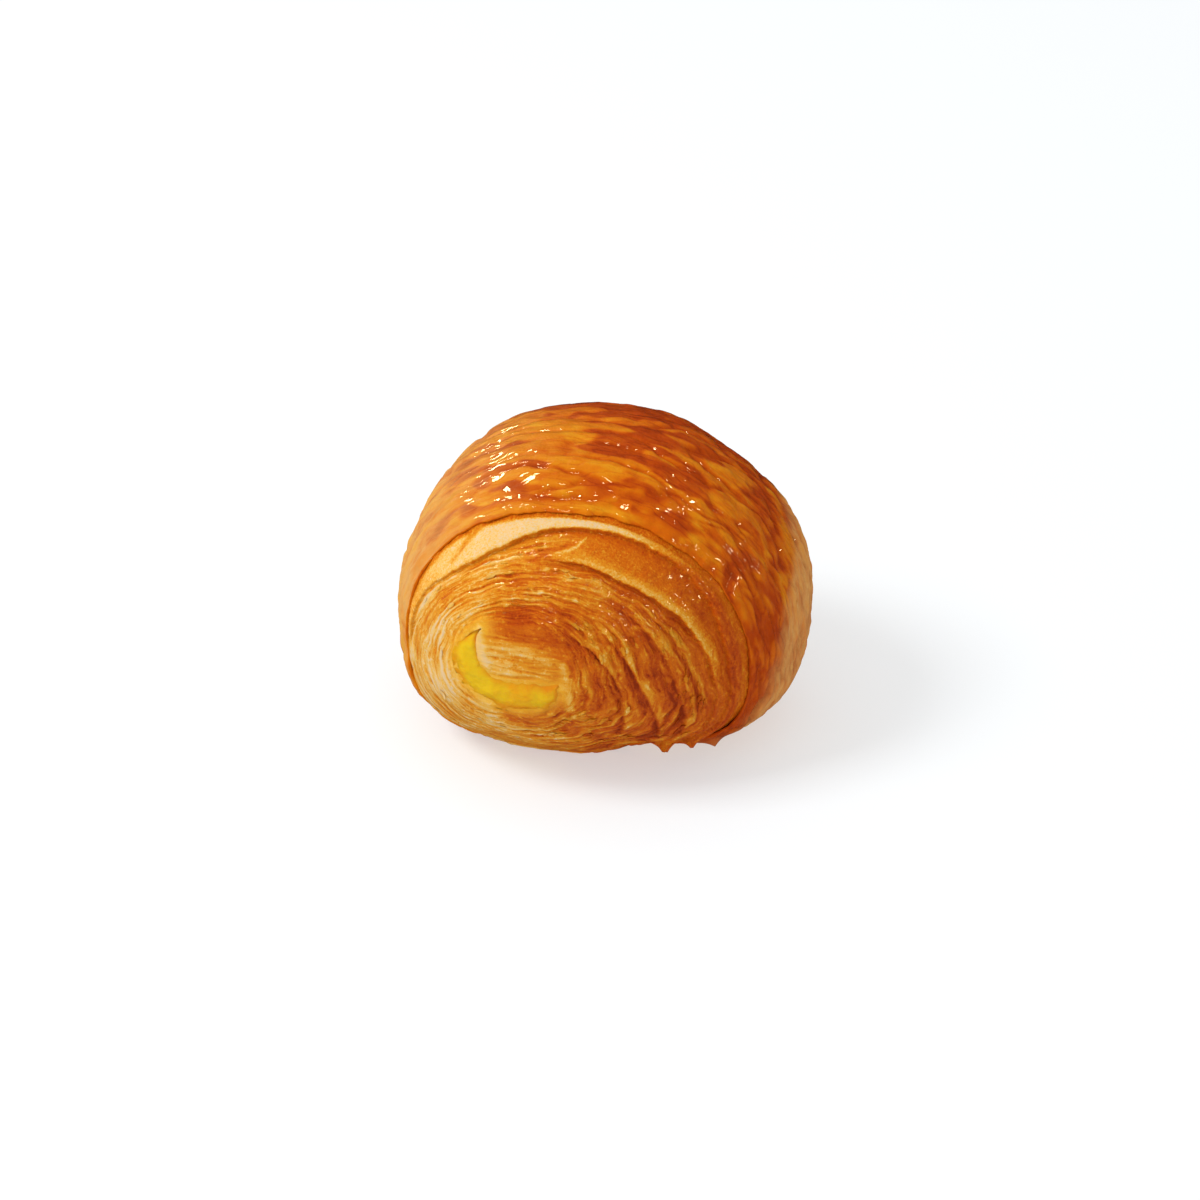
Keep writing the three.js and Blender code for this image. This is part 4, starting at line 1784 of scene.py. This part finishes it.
@dataclass(frozen=True)
class ShredScatter:
    """Geometry Nodes that lay shreds along the leaves of one end."""

    per_square_mm: float = 0.40
    shortest: float = 0.6
    longest: float = 1.9
    tilt: float = 0.18
    seed: int = 4

    def group(self) -> bpy.types.GeometryNodeTree:
        """Build the node group.

        Returns:
            The group, whose inputs are named after this class's fields.
        """
        tree = bpy.data.node_groups.new("shred_scatter", "GeometryNodeTree")
        for name, kind in SCATTER_INPUTS.items():
            tree.interface.new_socket(name=name, in_out="INPUT", socket_type=f"NodeSocket{kind}")
        tree.interface.new_socket(
            name="Shreds laid", in_out="OUTPUT", socket_type="NodeSocketGeometry"
        )
        add = partial(add_node, tree)
        start = add("NodeGroupInput", {}, {}).outputs
        share = add("GeometryNodeInputNamedAttribute", {"data_type": "FLOAT"}, {"Name": "shreds"})
        dense = add(
            "ShaderNodeMath", {"operation": "MULTIPLY"}, {0: share.outputs[0], 1: start["Density"]}
        )
        spread = add(
            "GeometryNodeDistributePointsOnFaces",
            {},
            {"Mesh": start["Leaves"], "Density": dense.outputs[0], "Seed": start["Seed"]},
        )
        size = add(
            "FunctionNodeRandomValue",
            {"data_type": "FLOAT"},
            {2: start["Shortest"], 3: start["Longest"], "Seed": start["Seed"]},
        )
        shreds = add(
            "GeometryNodeCollectionInfo",
            {},
            {"Collection": start["Shreds"], "Separate Children": True, "Reset Children": True},
        )
        placed = add(
            "GeometryNodeInstanceOnPoints",
            {},
            {
                "Points": spread.outputs["Points"],
                "Instance": shreds.outputs[0],
                "Pick Instance": True,
                "Rotation": self.rotation(tree, spread.outputs["Normal"], start["Tilt"]),
                "Scale": size.outputs[1],
            },
        )
        real = add("GeometryNodeRealizeInstances", {}, {"Geometry": placed.outputs[0]})
        finish = add(
            "GeometryNodeSetMaterial",
            {},
            {"Geometry": real.outputs[0], "Material": start["Finish"]},
        )
        add("NodeGroupOutput", {}, {0: finish.outputs[0]})
        return tree

    @staticmethod
    def rotation(
        tree: bpy.types.GeometryNodeTree, normal: bpy.types.NodeSocket, tilt: bpy.types.NodeSocket
    ) -> bpy.types.NodeSocket:
        """Turn each shred so that it lies flat along the leaves, and then tilt it a little.

        Args:
            tree: The node group.
            normal: The surface's outward direction.
            tilt: The largest tilt in radians.

        Returns:
            The rotation.
        """
        add = partial(add_node, tree)
        lie = add("GeometryNodeInputNamedAttribute", {"data_type": "FLOAT_VECTOR"}, {"Name": "lie"})
        upright = add("FunctionNodeAlignRotationToVector", {"axis": "Z"}, {"Vector": normal})
        laid = add(
            "FunctionNodeAlignRotationToVector",
            {"axis": "X", "pivot_axis": "Z"},
            {"Rotation": upright.outputs[0], "Vector": lie.outputs[0]},
        )
        least = add("ShaderNodeMath", {"operation": "MULTIPLY"}, {0: tilt, 1: -1.0})
        turns = [
            add(
                "FunctionNodeRandomValue",
                {"data_type": "FLOAT"},
                {2: least.outputs[0], 3: tilt, "ID": 0, "Seed": seed},
            ).outputs[1]
            for seed in (21, 22)
        ]
        tilted = add("ShaderNodeCombineXYZ", {}, {0: turns[0], 1: 0.0, 2: turns[1]})
        turned = add("FunctionNodeEulerToRotation", {}, {0: tilted.outputs[0]})
        rotation = add(
            "FunctionNodeRotateRotation",
            {"rotation_space": "LOCAL"},
            {"Rotation": laid.outputs[0], "Rotate By": turned.outputs[0]},
        )
        return rotation.outputs[0]

    def scatter(
        self, leaves: bpy.types.Object, name: str, finish: bpy.types.Material
    ) -> bpy.types.Object:
        """Lay the shreds and turn them into a plain mesh.

        Args:
            leaves: The leaves, with the attributes "shreds" and "lie". It is removed.
            name: The new piece's name.
            finish: The shreds' finish.

        Returns:
            The piece.
        """
        stock = bpy.data.collections.new("shred_stock")
        for number, form in enumerate(SHREDS):
            shred = form.build().to_object(f"shred_{number}", np.zeros(3))
            bpy.context.scene.collection.objects.unlink(shred)
            stock.objects.link(shred)
        tree = self.group()
        modifier = leaves.modifiers.new("shreds", "NODES")
        modifier.node_group = tree
        chosen = {
            "Shreds": stock,
            "Density": self.per_square_mm / MM**2,
            "Shortest": self.shortest,
            "Longest": self.longest,
            "Tilt": self.tilt,
            "Seed": self.seed,
            "Finish": finish,
        }
        for item in tree.interface.items_tree:
            if item.in_out == "INPUT" and item.name in chosen:
                modifier[item.identifier] = chosen[item.name]
        graph = bpy.context.evaluated_depsgraph_get()
        mesh = bpy.data.meshes.new_from_object(leaves.evaluated_get(graph))
        leaves.modifiers.remove(modifier)
        bpy.data.objects.remove(leaves)
        for shred in list(stock.objects):
            bpy.data.objects.remove(shred)
        bpy.data.collections.remove(stock)
        self.colour(mesh)
        piece = bpy.data.objects.new(name, mesh)
        bpy.context.scene.collection.objects.link(piece)
        return piece

    def colour(self, mesh: bpy.types.Mesh) -> None:
        """Keep on each shred how brown and how powdery it is."""
        draw = np.random.default_rng(self.seed)
        count = len(mesh.vertices)
        per_shred = ShredForm.stations * ShredForm.around + 2
        shade = draw.uniform(-0.02, 0.40, size=count // per_shred + 1)
        shared = np.repeat(shade, per_shred)[:count]
        store_values(mesh, "tone", shared)
        store_values(mesh, "bare", np.full(count, 0.35))
        store_values(mesh, "wet", np.zeros(count))
        mesh.polygons.foreach_set("use_smooth", np.ones(len(mesh.polygons), dtype=bool))


# Stage, light and camera


@dataclass(frozen=True)
class Lamp:
    """A square soft light, which may be kept out of the glaze or seen in the glaze alone."""

    name: str
    watts: float
    side: float
    place: tuple[float, float, float]
    in_glaze: bool
    colour: Colour = (1.0, 0.82, 0.46)

    def build(self, aim: Vector) -> None:
        """Place the light so that it faces a point."""
        data = bpy.data.lights.new(self.name, "AREA")
        data.energy = self.watts
        data.shape = "SQUARE"
        data.size = self.side
        data.color = self.colour
        lamp = bpy.data.objects.new(self.name, data)
        lamp.location = self.place
        lamp.rotation_euler = (aim - Vector(self.place)).to_track_quat("-Z", "Y").to_euler()
        lamp.visible_glossy = self.in_glaze
        lamp.visible_diffuse = not self.in_glaze
        bpy.context.scene.collection.objects.link(lamp)


LAMPS = (
    Lamp("key", 3.7, 0.28, (-0.46, -0.26, 0.64), False, (1.0, 1.0, 1.0)),
    Lamp("sparkle_left", 3.2, 0.12, (-0.62, 0.44, 0.42), True),
    Lamp("sparkle_upper_left", 2.2, 0.10, (-0.44, 0.16, 0.68), True),
    Lamp("sparkle_top", 0.9, 0.07, (-0.10, -0.18, 0.80), True),
    Lamp("sparkle_front", 1.2, 0.05, (-0.04, -0.74, 0.32), True),
    Lamp("sparkle_upper_right", 0.9, 0.05, (0.40, 0.16, 0.70), True),
    Lamp("sparkle_right", 1.0, 0.055, (0.74, -0.10, 0.32), True),
    Lamp("sparkle_front_right", 0.6, 0.045, (0.54, -0.46, 0.40), True),
    Lamp("sheen", 0.5, 0.40, (-0.80, 0.45, 0.22), True, (1.0, 0.76, 0.46)),
)


@dataclass(frozen=True)
class Studio:
    """A white table in soft light from the upper left, and the camera."""

    table_side: float = 3.0
    camera_azimuth: float = 16.12
    camera_elevation: float = 32.18
    camera_distance: float = 0.6
    pixels_per_mm: float = 6.71
    picture_side: float = 1200.0
    object_pixel: tuple[float, float] = (604.9, 569.1)
    sensor: float = 36.0
    world_strength: float = 0.76
    aim_x: float = -0.42
    aim_y: float = 1.55

    def build(self, height: float) -> None:
        """Place the table, the lights and the camera.

        Args:
            height: The roll's height in mm, half of which the camera and the lights look at.
        """
        aim = Vector((self.aim_x * MM, self.aim_y * MM, height / 2 * MM))
        self.table()
        self.world()
        for lamp in LAMPS:
            lamp.build(aim)
        self.camera(aim)

    def table(self) -> None:
        """Lay a thin tabletop whose upper face is the floor."""
        half = self.table_side / 2
        corners = [(-half, -half, 0), (half, -half, 0), (half, half, 0), (-half, half, 0)]
        mesh = bpy.data.meshes.new("tabletop")
        mesh.from_pydata(corners, [], [(0, 1, 2, 3)])
        mesh.materials.append(PaleFloor().material())
        table = bpy.data.objects.new("tabletop", mesh)
        table.visible_glossy = False
        bpy.context.scene.collection.objects.link(table)
        table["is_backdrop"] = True

    def world(self) -> None:
        """Light everything evenly from all round, without being mirrored in the glaze."""
        world = bpy.data.worlds.new("studio")
        world.use_nodes = True
        background = world.node_tree.nodes["Background"]
        background.inputs["Color"].default_value = (1.0, 1.0, 1.0, 1.0)
        background.inputs["Strength"].default_value = self.world_strength
        world.cycles_visibility.glossy = False
        bpy.context.scene.world = world

    def camera(self, aim: Vector) -> None:
        """Add the camera at the viewing angle."""
        azimuth = math.radians(self.camera_azimuth)
        elevation = math.radians(self.camera_elevation)
        back = Vector(
            (
                math.sin(azimuth) * math.cos(elevation),
                -math.cos(azimuth) * math.cos(elevation),
                math.sin(elevation),
            )
        )
        data = bpy.data.cameras.new("camera")
        data.sensor_width = self.sensor
        seen = self.picture_side / self.pixels_per_mm * MM
        data.lens = self.sensor * self.camera_distance / seen
        data.shift_x = 0.5 - self.object_pixel[0] / self.picture_side
        data.shift_y = self.object_pixel[1] / self.picture_side - 0.5
        camera = bpy.data.objects.new("camera", data)
        camera.location = aim + back * self.camera_distance
        camera.rotation_euler = (-back).to_track_quat("-Z", "Y").to_euler()
        bpy.context.scene.collection.objects.link(camera)
        bpy.context.scene.camera = camera


# The whole roll


Table = tuple[tuple[float, float], ...]
GROOVE: Table = (
    (-60, 0.960), (-40, 0.955), (-25, 0.945), (-10, 0.930), (2, 0.918), (12, 0.912), (25, 0.920),
    (46, 0.934), (70, 0.925), (91, 0.905), (102, 0.865), (112, 0.795), (126, 0.745), (138, 0.755),
    (150, 0.830), (162, 0.890), (180, 0.935), (210, 0.960),
)  # fmt: skip
LEDGE: Table = (
    (-60, 0.930), (-34, 0.910), (-14, 0.880), (2, 0.848), (14, 0.824), (23, 0.800), (32, 0.775),
    (44, 0.736), (56, 0.716), (65, 0.710), (76, 0.715), (95, 0.690), (126, 0.650), (160, 0.750),
    (200, 0.850), (250, 0.900),
)  # fmt: skip
FAR_GROOVE: Table = ((-20, 0.83), (40, 0.76), (100, 0.84), (200, 0.86), (290, 0.86))
CORE_ARC: Table = ((37, 0.31), (26, 0.346), (5, 0.417), (-9, 0.464), (-25, 0.52), (-50, 0.70))
MIDDLE_ARC: Table = ((44, 0.45), (23, 0.47), (0, 0.53), (-20, 0.635), (-44, 0.88))
OUTER_ARC: Table = ((42, 0.61), (25, 0.641), (12, 0.668), (-3, 0.698), (-18, 0.77), (-38, 0.90))

FINE_ARCS: tuple[Table, ...] = (
    ((38, 0.69), (20, 0.728), (5, 0.765), (-10, 0.812), (-32, 0.868)),
    ((52, 0.800), (30, 0.838), (10, 0.868), (-10, 0.903), (-36, 0.930)),
    ((34, 0.880), (14, 0.892), (0, 0.902), (-12, 0.920)),
    ((52, 0.962), (25, 0.952), (5, 0.948), (-22, 0.960)),
)


# Painted highlight: the tongue's left tip is painted paler than cream for its wet shine, and raised
# a little.
TONGUE_TIP = Streak(((130, 0.20), (150, 0.150), (163, 0.125), (189, 0.095)), 0.95, -0.12, 0.22, 0.0)
TONGUE_SIDE = Streak(((13, 0.195), (-4, 0.200), (-19, 0.212), (-40, 0.290)), 1.10, 0.26, 0.0, 0.0)
LEFT_FOLD = Streak(((122, 0.985), (127, 0.947), (131, 0.890), (136, 0.829)), 0.40, 0.45, -0.15)
TEAR = Streak(((81, 0.880), (82, 0.813), (84, 0.780), (89, 0.745)), 0.22, 0.12, 0.06, 0.8)
TEAR_SHADE = Streak(((86, 0.860), (86, 0.813), (88, 0.780), (93, 0.750)), 0.30, 0.62, -0.06)


@dataclass
class CustardRoll:
    """The whole roll and its pieces."""

    form: RollForm
    hook: CustardOutline = field(default_factory=CustardOutline)

    def dress(
        self,
        skin: Skin,
        name: str,
        material: bpy.types.Material,
        cutter: bpy.types.Object | None = None,
    ) -> bpy.types.Object:
        """Make a piece, give it its finish and let it ride on the roll's body."""
        piece = skin.to_object(name, self.form.shift)
        if cutter is not None:
            cut_channel(piece, cutter)
        piece.data.materials.clear()
        piece.data.materials.append(material)
        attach(piece, "root")
        LOG.info("%s: %d faces", name, len(piece.data.polygons))
        return piece

    def shred(
        self, skin: Skin, name: str, material: bpy.types.Material, scatter: ShredScatter
    ) -> None:
        """Lay loose shreds on one end's leaves and let them ride on the roll's body."""
        leaves = skin.to_object(f"{name}_ground", self.form.shift)
        piece = scatter.scatter(leaves, name, material)
        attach(piece, "root")
        LOG.info("%s: %d faces", name, len(piece.data.polygons))

    def near_end(self) -> SlippedEnd:
        """Return the end that shows its custard best, where two wraps slid forward."""
        return SlippedEnd(
            form=self.form,
            end=End.NEAR,
            edges=(
                WrapEdge(LEDGE, 0.75, -30.0, 84.0, 0.0),
                WrapEdge(GROOVE, 0.90, -44.0, 178.0, 0.0),
            ),
            ridges=(
                Ridge(CORE_ARC, 0.42, run=0.055),
                Ridge(MIDDLE_ARC, 0.36, run=0.050),
                Ridge(OUTER_ARC, 0.46, run=0.050),
                *(Ridge(line, 0.24, run=0.016) for line in FINE_ARCS),
            ),
            streaks=(LEFT_FOLD, TEAR_SHADE, TEAR, TONGUE_TIP, TONGUE_SIDE),
            leaf_field=LeafField(leaves=17.0, arms=6, seed=5),
            hook=self.hook,
            columns=560,
            core_rows=30,
            leaf_rows=92,
            band_rows=12,
            tips=((325.0, 1.0), (318.5, 1.1)),
        )

    def far_end(self) -> SlippedEnd:
        """Return the other end, which is plainer."""
        return SlippedEnd(
            form=self.form,
            end=End.FAR,
            edges=(WrapEdge(FAR_GROOVE, 0.90, -10.0, 100.0, 0.3),),
            leaf_field=LeafField(leaves=15.0, arms=6, seed=8, mirrored=True),
            hook=self.hook,
            columns=460,
            core_rows=24,
            leaf_rows=80,
            band_rows=12,
            crowd=0.0,
            seed=17,
        )

    def build(self) -> None:
        """Build every piece."""
        bar = CustardBar(self.form, self.hook)
        cutter = bar.cutter().to_object("channel_cutter", self.form.shift)
        crust = self.dress(
            OuterWrap(self.form).build(), "outer_wrap", GlazedCrust().material()
        )
        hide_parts("pastry")
        leaf_finish = LeafEdges().material()
        near_skin = self.near_end().build()
        near_piece = self.dress(near_skin, "near_leaves", leaf_finish, cutter)
        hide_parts("pastry")
        self.shred(near_skin, "near_shreds", leaf_finish, ShredScatter())
        far_skin = self.far_end().build()
        far_piece = self.dress(far_skin, "far_leaves", leaf_finish, cutter)
        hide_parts("pastry")
        self.shred(far_skin, "far_shreds", leaf_finish, ShredScatter(seed=5))
        bpy.data.objects.remove(cutter)
        custard = self.dress(bar.build(), "custard_hook", SetCustard().material())
        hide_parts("custard")


def main() -> None:
    """Build the roll round the frame."""
    logging.basicConfig(level=logging.INFO, format="%(name)s: %(message)s")
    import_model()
    low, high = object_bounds()
    size = (Vector(high) - Vector(low)) / MM
    LOG.info("frame box %.2f x %.2f x %.2f mm", *size)
    scene = bpy.context.scene
    scene.view_settings.view_transform = "Standard"
    CustardRoll(RollForm(width=size.x, depth=size.y, height=size.z)).build()
    Studio().build(size.z)


if __name__ == "__main__":
    main()
